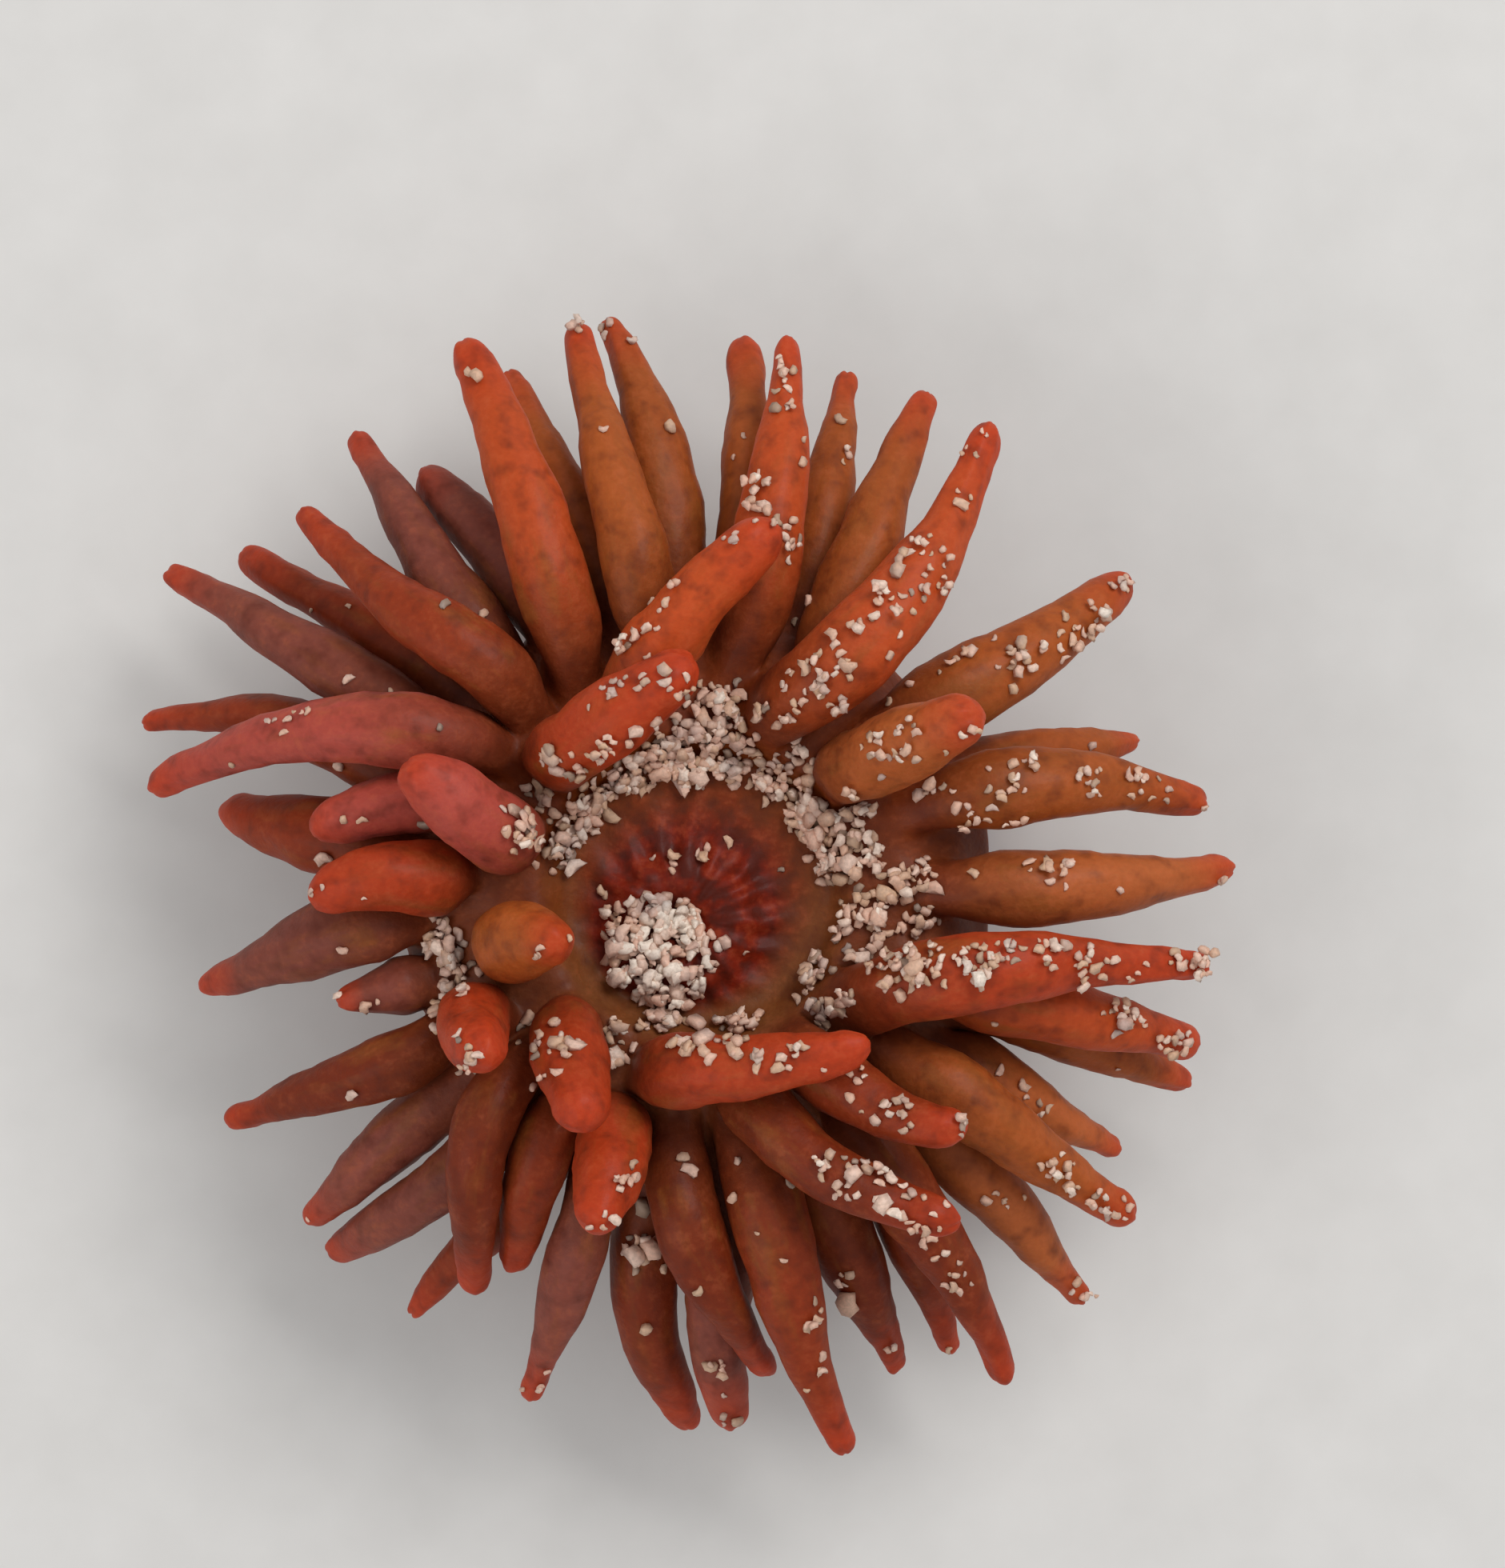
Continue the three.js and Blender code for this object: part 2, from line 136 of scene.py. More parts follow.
FOOT_LOBES = 0.035  # how far the foot's edge wanders, as a share of its reach
FOOT_LOBES_TOP = 2.2
FOOT_WAVES = ((0.6, 3, 0.7), (0.4, 5, 2.1))  # (share, waves round the foot, start in radians)

BEAD_COUNT = 24
BEAD_LOOP = 10  # the beads grow from the faces above this loop of the body
BEAD_START = 1.5  # the first bead's middle, in segments
BEAD_RINGS = ((0.35, 1.5), (0.55, 1.35), (0.35, 0.6))  # (step outwards, growth) of each ring of a bead

# Each ring of tentacles grows from the band between two loops of the body, and each tentacle from a cell
# of the band that is a whole number of segments wide.
BANDS = {"outer": (13, 2), "middle": (15, 2), "inner": (17, 3)}  # (band's lower loop, cell's segments)
BAND_LOOPS = 2
EDGE_SLACK = 0.1  # a face's middle lies inside its corners by less than this

TENTACLE_SIDES = 8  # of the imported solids
SAME_PLACE = 0.002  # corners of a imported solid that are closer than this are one
# The rounded end of a tentacle, as (distance from its tip, size) in shares of its last ring's radius, and
# the least gap before it in the same shares.
TIP_DOME = ((1.30, 0.97), (0.60, 0.80), (0.08, 0.32))
DOME_GAP = 0.5
GIRTH_WANDER = 0.075  # how much a ring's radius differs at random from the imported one
FIRST_SHARE = 0.02  # the least share of its length that is written on a tentacle's own vertices

# The skin's own values for each part of the body: (disc, mouth).
ZONES = {FOOT: (0, 0), COLUMN: (0, 0), COLLAR: (0, 0), RIM: (0.6, 0), DISH: (1, 0), LIPS: (1, 1)}
SKIN_VALUES = ("along", "length", "disc", "mouth", "bead", "around_x", "around_y", "seed")
# The tone holds painted reflection, painted shade and painted light on the mauve, deep red and honey
# tentacles.
FLESH_TONE = "tone"  # a colour on each tentacle
SKIN_SEED, GRAIN_SHAPE_SEED, SAND_SEED, TINT_SEED = 7, 3, 23, 41
LAST_TENTACLE_SEED = 100

TONE_WANDER = 0.10  # how much lighter or darker than its kind a tentacle can be
AMBER, HONEY_AND_LIGHT, CORAL, SCARLET = "amber", "honey_and_light", "coral", "scarlet"
CRIMSON, DEEP_AND_SHADE, ROSE, MAUVE_REFLECTION = "crimson", "deep", "rose", "mauve_reflection"
# The tone of each tentacle, from olive brown to mauve, each a colour of the settings. The rest are coral.
# Mauve is painted reflection of the sky, with painted shade, on the tentacles towards -X. Deep red is
# partly the flesh's darker red and partly painted shade, towards -Y. Honey is a lighter amber and partly
# painted light, on tentacles that stand in brighter light.
TONE_OF = {
    "outer": {
        AMBER: (1, 2, 3, 4, 5, 24),
        HONEY_AND_LIGHT: (22, 23),
        CRIMSON: (8, 10, 16, 25),
        DEEP_AND_SHADE: (13, 18, 20, 21),
        MAUVE_REFLECTION: (6, 7, 9, 11, 12, 14, 15, 17, 19),
    },
    "middle": {
        AMBER: (2, 3, 4, 6, 19),
        HONEY_AND_LIGHT: (1,),
        SCARLET: (11, 12, 15),
        CRIMSON: (8, 14, 17),
        DEEP_AND_SHADE: (13, 16, 18),
        ROSE: (9, 10),
    },
    "inner": {AMBER: (6,), HONEY_AND_LIGHT: (1,), SCARLET: (4, 7, 8, 11), CRIMSON: (10,), DEEP_AND_SHADE: (9,), ROSE: (5,)},
}


# ---------------------------------------------------------------- sizes of the sand
# Sand on the disc, as (bearing from, bearing to, reach from, reach to, grains).
SAND_ON_DISC = (
    (148, 170, 6.4, 9.6, 44),
    (122, 148, 6.2, 8.0, 40),
    (96, 122, 5.8, 8.4, 50),
    (68, 96, 5.6, 10.2, 100),
    (30, 66, 6.0, 8.4, 52),
    (4, 34, 6.2, 9.2, 58),
    (-26, 8, 7.6, 12.0, 60),
    (-46, -24, 7.2, 9.4, 34),
    (-112, -66, 6.9, 7.9, 26),
    (-122, -110, 7.6, 9.8, 16),
    (-140, -124, 9.0, 12.0, 12),
    (188, 206, 12.0, 13.4, 46),
    (206, 220, 13.2, 14.8, 22),
)
# Sand in the mouth, as (middle, half width, grains).
SAND_IN_MOUTH = ((-1.7, -3.1), 2.5, 120)
SAND_AT_LIPS = (((-1.2, 1.7), 0.4, 2), ((0.2, 1.9), 0.5, 2), ((1.6, 2.0), 0.2, 1), ((-3.8, -1.6), 1.0, 8))
# Small heaps between the tentacles, in the same way.
SAND_HEAPS = (((-2.4, -18.0), 0.9, 8), ((-6.6, 6.4), 0.7, 6), ((3.6, -8.2), 0.5, 3))
# Sand on the tentacles, as (ring, number, share from, share to, side, half spread, grains). The side is 1
# at the left edge, looking towards the tip. The grains are thinned out before they are laid.
SAND_ON_TENTACLES = (
    ("outer", 2, 0.50, 0.95, -0.2, 0.8, 9),
    ("outer", 3, 0.45, 0.70, 0.0, 0.9, 6),
    ("outer", 4, 0.70, 0.99, 0.0, 0.8, 8),
    ("outer", 12, 0.55, 0.98, 0.2, 0.8, 14),
    ("outer", 14, 0.85, 0.99, 0.0, 0.8, 5),
    ("outer", 17, 0.70, 0.95, 0.3, 0.6, 8),
    ("outer", 19, 0.45, 0.98, 0.1, 0.8, 18),
    ("outer", 20, 0.45, 0.80, -0.1, 0.6, 10),
    ("outer", 21, 0.80, 0.99, 0.2, 0.8, 10),
    ("outer", 22, 0.80, 0.99, -0.2, 0.9, 16),
    ("outer", 22, 0.30, 0.60, 0.0, 0.9, 10),
    ("outer", 23, 0.30, 0.70, 0.2, 0.8, 9),
    ("outer", 24, 0.50, 0.98, -0.2, 0.8, 14),
    ("middle", 1, 0.25, 0.45, 0.5, 0.4, 12),
    ("middle", 1, 0.82, 0.90, 0.2, 0.8, 7),
    ("middle", 2, 0.05, 0.40, -0.1, 0.9, 46),
    ("middle", 2, 0.45, 0.98, 0.3, 0.8, 40),
    ("middle", 3, 0.40, 0.99, -0.4, 0.7, 84),
    ("middle", 3, 0.10, 0.50, 0.9, 0.3, 18),
    ("middle", 4, 0.25, 0.40, -0.5, 0.5, 6),
    ("middle", 5, 0.30, 0.50, 0.0, 1.0, 56),
    ("middle", 5, 0.68, 0.82, 0.2, 0.7, 16),
    ("middle", 5, 0.92, 0.99, 0.0, 0.9, 5),
    ("middle", 6, 0.90, 1.00, 0.0, 0.9, 14),
    ("middle", 7, 0.74, 0.82, 0.5, 0.4, 6),
    ("middle", 9, 0.45, 0.80, -0.6, 0.4, 8),
    ("middle", 10, 0.55, 0.95, -0.3, 0.6, 5),
    ("middle", 11, 0.85, 1.00, -0.5, 0.6, 14),
    ("middle", 11, 0.40, 0.70, 0.9, 0.2, 7),
    ("middle", 13, 0.55, 0.98, 0.4, 0.6, 6),
    ("middle", 15, 0.50, 0.98, 0.5, 0.5, 22),
    ("middle", 16, 0.82, 0.98, 0.3, 0.7, 12),
    ("middle", 17, 0.50, 0.70, 0.2, 0.7, 12),
    ("middle", 18, 0.30, 0.60, 0.0, 0.9, 26),
    ("middle", 19, 0.55, 0.90, 0.4, 0.8, 46),
    ("middle", 20, 0.55, 0.98, 0.1, 0.8, 44),
    ("inner", 1, 0.30, 0.55, 0.0, 0.6, 26),
    ("inner", 1, 0.60, 0.99, -0.7, 0.5, 22),
    ("inner", 2, 0.10, 0.60, -0.2, 0.9, 96),
    ("inner", 2, 0.70, 0.98, 0.3, 0.6, 16),
    ("inner", 3, 0.30, 0.60, 1.0, 0.3, 50),
    ("inner", 3, 0.75, 0.98, 0.3, 0.7, 20),
    ("inner", 4, 0.55, 0.80, 0.9, 0.3, 16),
    ("inner", 6, 0.70, 0.95, -0.8, 0.3, 6),
    ("inner", 8, 0.55, 0.75, 0.4, 0.5, 10),
    ("inner", 9, 0.45, 0.98, 0.3, 0.9, 60),
    ("inner", 10, 0.30, 0.95, 0.1, 0.9, 44),
    ("inner", 11, 0.15, 0.60, 0.5, 0.6, 70),
    ("inner", 11, 0.60, 0.99, 0.1, 0.9, 60),
)
THINNINGS = (0.62, 0.82)  # the share of a patch's grains that each thinning leaves
FEWEST_GRAINS = 2  # and the least number
LOOSE_GRAINS = 60  # single grains all over the crown
GRAIN_SHAPES = 6
GRAIN_BOX = 0.64  # side of the box that a grain is made of, which rounding makes one across
GRAIN_ROUNDING = 0.6
GRAIN_ROUGHNESS = 0.15  # how far its corners are moved at random
GRAIN_FLATNESS = (0.26, 0.62)  # of the flattest and the roundest shape
GRAIN_WIDTH = (0.42, 0.5)  # of a shape without thickness, and what its thickness adds
GRAIN_CURL = 0.7
HALF_GRAIN = 0.5
GRAIN_TILT = 0.3  # how far a grain leans from the flesh's normal
GRAIN_TURN = 7.0  # the most a grain is turned on its own axis, in radians
GRAIN_TINTS = (0.0, 0.65)
# Painted shade: the grains low in a pile are drawn darker than those on top.
PAINTED_PILE_SHADE = 0.25  # how much paler the top grains of a pile are
GRAIN_SIZES = (0.42, 0.95)  # of most grains, in millimetres across
FLAKE_SIZES = (0.95, 1.45)  # and of the few large flakes
FLAKE_SHARE = 0.10
# What the grains are like in each place, as (their share of these sizes, how much paler than the rest).
ON_DISC, IN_MOUTH, ON_TENTACLE = (1.0, 0.0), (1.1, 0.25), (0.84, 0.08)
CLUMPS = (1, 1, 2, 3, 4)  # how many grains cling together
CLUMP_SPREAD = 0.32
PILE_REACH = 0.45  # a grain rests on an earlier one that is closer than this
PILE_STEP = 0.16
PILE_MOST = 4
STEEPEST = 0.48  # least upward part of the normal that a grain rests on
STEEPEST_TENTACLE = 0.60
LEVEL_SIZE = 1.25  # the largest grain on level flesh of a tentacle, which gets less as the flesh slopes
# Single flakes that are larger than the rest, as (x, y, size).
LONE_FLAKES = (
    (-5.4, 3.5, 1.25),
    (-2.9, -9.1, 1.5),
    (7.6, -20.6, 2.1),
    (9.2, -15.4, 1.3),
    (8.9, -16.9, 1.2),
    (4.6, -14.6, 0.9),
    (-0.3, -13.9, 1.2),
    (-18.6, 1.6, 1.3),
    (-2.6, -15.9, 1.3),
)
CROWN_REACH = 24.0
DROP_HEIGHT = 50.0
SIDE_MOST = 0.85  # grains are dropped on a tentacle up to this share of its radius from its middle line
LANDING_REACH = 1.5  # and have to land within this share of it


# ---------------------------------------------------------------- settings
def length_setting(name, description, default, least=0.0):
    """A length in millimetres."""
    return FloatProperty(name=name, description=description, default=default, min=least)


def share_setting(name, description, default, most):
    return FloatProperty(name=name, description=description, default=default, min=0.0, max=most)


def colour_setting(name, description, default):
    return FloatVectorProperty(
        name=name,
        description=description,
        default=default,
        subtype="COLOR",
        size=3,
        min=0.0,
        max=1.0,
    )


def tone_setting(name, default, what="some tentacles"):
    return colour_setting(name, f"Tone of {what}", default)


class ANEMONE_PG_skin(bpy.types.PropertyGroup):
    """Sizes of the skin that aren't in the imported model."""

    swelling: length_setting("Swelling", "How far the flesh swells and sinks, in millimetres", 0.20)
    swelling_size: length_setting("Swelling size", "How wide a swelling is, in millimetres", 2.6, 0.1)
    wrinkles: length_setting("Wrinkles", "How deep the fine wrinkles are, in millimetres", 0.05)
    wrinkle_size: length_setting("Wrinkle size", "How wide a wrinkle is, in millimetres", 0.8, 0.1)
    rib_depth: length_setting("Rib depth", "How far the ribs of the mouth stand out, in millimetres", 0.13)
    fold_depth: length_setting("Fold depth", "Depth of the folds along the tentacles, in millimetres", 0.13)
    crease_depth: length_setting("Crease depth", "Depth of the creases round them, in millimetres", 0.07)
    smoothing: IntProperty(
        name="Smoothing",
        description="Levels of subdivision of the skin",
        default=2,
        min=1,
        max=2,
    )


class ANEMONE_PG_sand(bpy.types.PropertyGroup):
    """Sizes of the sand that clings to the animal."""

    amount: share_setting("Amount", "Share of the grains that are laid", 1.0, 1.0)
    sinking: share_setting("Sinking", "Share of its thickness that a grain sits in the flesh", 0.25, 0.9)


class ANEMONE_PG_colours(bpy.types.PropertyGroup):
    """Colours of the flesh and of the sand."""

    amber: tone_setting("Amber", (0.370, 0.082, 0.014))
    # Honey is a lighter amber and partly painted light, on tentacles that stand in brighter light.
    honey_and_light: tone_setting("Honey", (0.470, 0.116, 0.028))
    coral: tone_setting("Coral", (0.480, 0.068, 0.013), "the tentacles that have no other")
    scarlet: tone_setting("Scarlet", (0.430, 0.046, 0.010))
    crimson: tone_setting("Crimson", (0.280, 0.036, 0.008))
    # Deep red is partly the flesh's own darker red and partly painted shade, on tentacles towards -Y.
    deep: tone_setting("Deep red", (0.185, 0.024, 0.005))
    rose: tone_setting("Rose", (0.460, 0.074, 0.050))
    # Mauve is painted reflection of the sky, with painted shade, on the tentacles towards -X.
    mauve_reflection: tone_setting("Mauve", (0.240, 0.060, 0.038))
    root: colour_setting("Root", "Flesh where a tentacle leaves the body", (0.170, 0.036, 0.009))
    tip: colour_setting("Tip", "Last part of every tentacle", (0.480, 0.044, 0.010))
    olive_patch: colour_setting("Olive patch", "Streaks low on a tentacle", (0.260, 0.078, 0.014))
    column: colour_setting("Column", "Flesh of the column", (0.170, 0.022, 0.010))
    foot_edge: colour_setting("Foot edge", "Line round the edge of the foot", (0.060, 0.130, 0.300))
    disc_olive: colour_setting("Disc, olive side", "Oral disc towards -Y", (0.185, 0.056, 0.014))
    disc_rust: colour_setting("Disc, rust side", "Oral disc towards +Y", (0.205, 0.038, 0.003))
    mouth: colour_setting("Mouth", "Lips and throat", (0.215, 0.015, 0.003))
    mouth_plum: colour_setting("Mouth shade", "Dark patches on the lips and throat", (0.095, 0.010, 0.004))
    bead: colour_setting("Beads", "Beads of the collar", (0.050, 0.230, 0.600))
    shadow: colour_setting("Dark clouds", "Dark clouds and flecks in the flesh", (0.080, 0.012, 0.005))
    glow: colour_setting("Pale clouds", "Pale clouds and flecks in the flesh", (0.620, 0.160, 0.060))
    sand_grey: colour_setting("Grey sand", "Darkest grains and all flecks", (0.300, 0.205, 0.150))
    sand_cream: colour_setting("Cream sand", "Darker grains", (0.660, 0.415, 0.260))
    sand_pink: colour_setting("Pink sand", "Grains of the middle tone", (0.760, 0.460, 0.340))
    sand_white: colour_setting("White sand", "Palest grains", (0.920, 0.790, 0.660))
    sand_slate: colour_setting("Slate sand", "Patches of greyer grains", (0.340, 0.270, 0.260))


class ANEMONE_PG_stage(bpy.types.PropertyGroup):
    """Sizes of the floor and strengths of the lights."""

    floor_size: FloatProperty(
        name="Floor size",
        description="Side of the square floor",
        default=1.2,
        unit="LENGTH",
    )
    key_power: FloatProperty(
        name="Key light",
        description="Power of the large soft light, in watts",
        default=1.5,
    )
    fill_power: FloatProperty(
        name="Fill light",
        description="Power of the weaker light on the other side, in watts",
        default=0.5,
    )
    sky: FloatProperty(
        name="Sky",
        description="Strength of the even light from all round",
        default=0.54,
    )


# ---------------------------------------------------------------- small helpers
def at_bearing(bearing, reach, height):
    angle = math.radians(bearing)
    return Vector((reach * math.cos(angle), reach * math.sin(angle), height)) * MM


def deselect_everything():
    for thing in bpy.context.view_layer.objects:
        thing.select_set(False)
    bpy.context.view_layer.objects.active = None


def make_active(thing):
    deselect_everything()
    thing.select_set(True)
    bpy.context.view_layer.objects.active = thing


def selected_verts(bm):
    return [v for v in bm.verts if v.select]


def middle_of(verts):
    return sum((v.co for v in verts), Vector()) / len(verts)


def select_only(bm, faces):
    """Selects these faces of a mesh that is in edit mode."""
    bpy.ops.mesh.select_all(action="DESELECT")
    for face in faces:
        face.select = True
    bm.select_flush_mode()


def write_values(bm, verts, **values):
    """Writes the skin's own values on vertices of a mesh that is in edit mode."""
    for name, value in values.items():
        layer = bm.verts.layers.float[name]
        for v in verts:
            v[layer] = value


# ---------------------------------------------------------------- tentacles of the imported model
def rings_of(node):
    """A packed tentacle's rings from root to tip, as (middle, radius), and its tip."""
    bm = bmesh.new()
    bm.from_mesh(node.data)
    bmesh.ops.remove_doubles(bm, verts=bm.verts, dist=SAME_PLACE * MM)
    for start in bm.verts:
        if len(start.link_edges) != TENTACLE_SIDES:
            continue
        layers, seen = [[start]], {start}
        while layers[-1]:
            beyond = {e.other_vert(v) for v in layers[-1] for e in v.link_edges} - seen
            seen |= beyond
            layers.append(sorted(beyond, key=lambda v: v.index))
        rings = layers[1:-1]
        if all(len(ring) == TENTACLE_SIDES for ring in rings):
            break
    else:
        raise RuntimeError(f"{node.name} has no tip with rings of {TENTACLE_SIDES} behind it")
    tip = start.co.copy()
    found = []
    for ring in reversed(rings):
        middle = middle_of(ring)
        found.append((middle, (ring[0].co - middle).length))
    bm.free()
    return found, tip


def path_of(rings, tip, random):
    """The stations of the skin's rings past the root, as (share of the length, middle, radius), and the
    whole length."""
    middles = [middle for middle, _ in rings] + [tip]
    lengths = [0.0]
    for before, after in zip(middles, middles[1:]):
        lengths.append(lengths[-1] + (after - before).length)
    whole = lengths[-1]
    last_radius = rings[-1][1]
    dome_start = whole - TIP_DOME[0][0] * last_radius
    stations = []
    for length, (middle, radius) in zip(lengths[1:], rings[1:]):
        if length < dome_start - DOME_GAP * last_radius:
            wander = 1 + random.uniform(-GIRTH_WANDER, GIRTH_WANDER)
            stations.append((length, middle, radius * wander))
    for distance, size in TIP_DOME:
        length = whole - distance * last_radius
        stations.append((length, point_along(middles, lengths, length), last_radius * size))
    return [(length / whole, place, radius) for length, place, radius in stations], whole


def point_along(middles, lengths, length):
    """The point at a length along a line of points."""
    i = next(n for n in range(1, len(lengths)) if lengths[n] >= length)
    share = (length - lengths[i - 1]) / (lengths[i] - lengths[i - 1])
    return middles[i - 1].lerp(middles[i], share)


def tone_of(ring, number, colours, random):
    """A tentacle's tone, a little lighter or darker than its kind."""
    kinds = [kind for kind, numbers in TONE_OF[ring].items() if number in numbers]
    light = random.uniform(1 - TONE_WANDER, 1 + TONE_WANDER)
    return [c * light for c in getattr(colours, kinds[0] if kinds else CORAL)]


# ---------------------------------------------------------------- the skin
def size_loop(previous, following):
    """Extrudes the selected cap of the body to its next loop, both given as (centre, half axes)."""
    step = following[0] - previous[0]
    bpy.ops.mesh.extrude_region_move(TRANSFORM_OT_translate={"value": step})
    growth = [after / before for before, after in zip(previous[1], following[1])]
    bpy.ops.transform.resize(value=(growth[0], growth[1], 1.0), center_override=following[0])


def model_body(root_colour):
    """The body without tentacles: its outline drawn up from the foot, over the rim and into the throat."""
    deselect_everything()
    reach, height, _ = BODY_LOOPS[0]
    bpy.ops.mesh.primitive_circle_add(
        vertices=SEGMENTS,
        radius=reach * MM,
        fill_type="NGON",
        location=(0, 0, height * MM),
    )
    body = bpy.context.object
    body.name = body.data.name = "anemone_skin"
    bpy.ops.object.transform_apply(location=True)
    for name in SKIN_VALUES:
        body.data.attributes.new(name, "FLOAT", "POINT")
    tones = body.data.attributes.new(FLESH_TONE, "FLOAT_COLOR", "POINT")
    for tone in tones.data:
        tone.color = (*root_colour, 1.0)
    bpy.ops.object.mode_set(mode="EDIT")
    bpy.ops.mesh.select_mode(type="FACE")
    bpy.ops.mesh.select_all(action="SELECT")
    bm = bmesh.from_edit_mesh(body.data)

    loops = [(Vector((0, 0, z * MM)), (r * MM, r * MM), zone) for r, z, zone in BODY_LOOPS]
    turned_back = Matrix.Rotation(math.radians(-MOUTH_BEARING), 3, "Z")
    seat = turned_back @ Vector((*MOUTH_CENTRE, 0.0))
    for share, z in LIP_LOOPS:
        half_axes = (MOUTH_LENGTH_RADIUS * share * MM, MOUTH_WIDTH_RADIUS * share * MM)
        loops.append((Vector((seat.x, seat.y, z)) * MM, half_axes, LIPS))
    for previous, following in zip(loops, loops[1:]):
        size_loop(previous, following)
        disc, mouth = ZONES[following[2]]
        write_values(bm, selected_verts(bm), disc=disc, mouth=mouth)
    bpy.ops.object.mode_set(mode="OBJECT")
    body.rotation_euler.z = math.radians(MOUTH_BEARING)
    bpy.ops.object.transform_apply(rotation=True)
    return body


def faces_between(bm, lower_loop, upper_loop, first, count):
    """The body's faces between two loops, over count segments from the segment numbered first."""
    low, high = BODY_LOOPS[lower_loop], BODY_LOOPS[upper_loop]
    least, most = sorted((low[0], high[0]))
    found = []
    for face in bm.faces:
        middle = face.calc_center_median() / MM
        if not low[1] < middle.z < high[1]:
            continue
        if not least - EDGE_SLACK < math.hypot(middle.x, middle.y) < most:
            continue
        bearing = math.degrees(math.atan2(middle.y, middle.x)) - first * SEGMENT_TURN
        if bearing % FULL_TURN < count * SEGMENT_TURN:
            found.append(face)
    return found


def cells_for(bearings, width):
    """The first segment of each tentacle's cell, so that no two cells of a band share a segment."""
    order = sorted(range(len(bearings)), key=lambda i: bearings[i])
    starts, taken = {}, -1
    for i in order:
        start = max(round(bearings[i] / SEGMENT_TURN - width / 2), taken)
        starts[i] = start
        taken = start + width
    first = starts[order[0]]
    if taken - first > SEGMENTS:
        raise RuntimeError("the tentacles' cells don't fit round the band")
    return [starts[i] for i in range(len(bearings))]


def turn_towards(normal, direction, centre):
    """Turns the selected ring about its middle until it stands square to direction."""
    axis = normal.cross(direction)
    if axis.length < 1e-6:
        return
    axis.normalize()
    across = axis.orthogonal().normalized()
    turned = Matrix((across, axis.cross(across), axis)).transposed()
    bpy.ops.transform.rotate(
        value=normal.angle(direction),
        orient_axis="Z",
        orient_type="GLOBAL",
        orient_matrix=turned,
        orient_matrix_type="GLOBAL",
        constraint_axis=(False, False, True),
        center_override=centre,
    )


def round_off(verts, centre, normal, radius):
    """Spreads a ring's vertices evenly round a circle, keeping their order and their mean turn."""
    across = normal.orthogonal().normalized()
    up = normal.cross(across)
    turns = [math.atan2((v.co - centre).dot(up), (v.co - centre).dot(across)) for v in verts]
    order = sorted(range(len(verts)), key=lambda i: turns[i])
    even = 2 * math.pi / len(verts)
    offset = sum(turns[i] - even * n for n, i in enumerate(order)) / len(verts)
    for n, i in enumerate(order):
        angle = offset + even * n
        verts[i].co = centre + (across * math.cos(angle) + up * math.sin(angle)) * radius


def grow_tentacle(bm, cell, path, tip, tone, seed):
    """Extrudes a tentacle from its cell of the body, ring by ring along its middle line."""
    stations, length = path
    tones = bm.verts.layers.float_color[FLESH_TONE]
    select_only(bm, [cell])
    places = [place for _, place, _ in stations] + [tip]
    sides = len(cell.verts)
    # A subdivided ring stands inside its corners by this share of its radius.
    fullness = 6 / (4 + 2 * math.cos(2 * math.pi / sides))
    for n, (share, place, radius) in enumerate(stations):
        before = places[n - 1] if n else middle_of(cell.verts)
        direction = (places[n + 1] - before).normalized()
        step = place - middle_of(selected_verts(bm))
        bpy.ops.mesh.extrude_region_move(TRANSFORM_OT_translate={"value": step})
        verts = selected_verts(bm)
        normal = next(f.normal.copy() for f in bm.faces if f.select)
        turn_towards(normal, direction, place)
        if n == 0:
            round_off(verts, place, direction, radius * fullness)
        else:
            now = sum((v.co - place).length for v in verts) / len(verts)
            growth = radius * fullness / now
            bpy.ops.transform.resize(value=(growth,) * 3, center_override=place)
        share_on = max(share, FIRST_SHARE)
        write_values(bm, verts, along=share_on, length=share * length / MM, disc=0, seed=seed)
        for v in verts:
            v[tones] = (*tone, 1.0)
        if n == 0:
            number_round(bm, verts, place, direction)


def number_round(bm, verts, centre, normal):
    """Writes where each vertex of a ring stands round its circle. The later rings take it over."""
    across = normal.orthogonal().normalized()
    up = normal.cross(across)
    for v in verts:
        out = (v.co - centre).normalized()
        write_values(bm, [v], around_x=out.dot(across), around_y=out.dot(up))


def grow_bead(bm, cell):
    """Raises one bead of the collar from a face of its groove."""
    outwards = cell.normal.copy()
    select_only(bm, [cell])
    for step, growth in BEAD_RINGS:
        bpy.ops.mesh.extrude_region_move(TRANSFORM_OT_translate={"value": outwards * step * MM})
        verts = selected_verts(bm)
        bpy.ops.transform.resize(value=(growth,) * 3, center_override=middle_of(verts))
        write_values(bm, verts, bead=1.0)


def face_nearest(bm, place):
    return min(bm.faces, key=lambda f: (f.calc_center_median() - place).length)


def join_cells(bm, ring, width, starts):
    """Makes each tentacle's cell one face, and returns the middles of the cells."""
    lower, _ = BANDS[ring]
    middles = []
    for start in starts:
        faces = faces_between(bm, lower, lower + BAND_LOOPS, start, width)
        if len(faces) != BAND_LOOPS * width:
            raise RuntimeError(f"a cell of the {ring} band has {len(faces)} faces")
        select_only(bm, faces)
        bpy.ops.mesh.dissolve_faces(use_verts=False)
        cell = next(f for f in bm.faces if f.select)
        middles.append(cell.calc_center_median())
    return middles


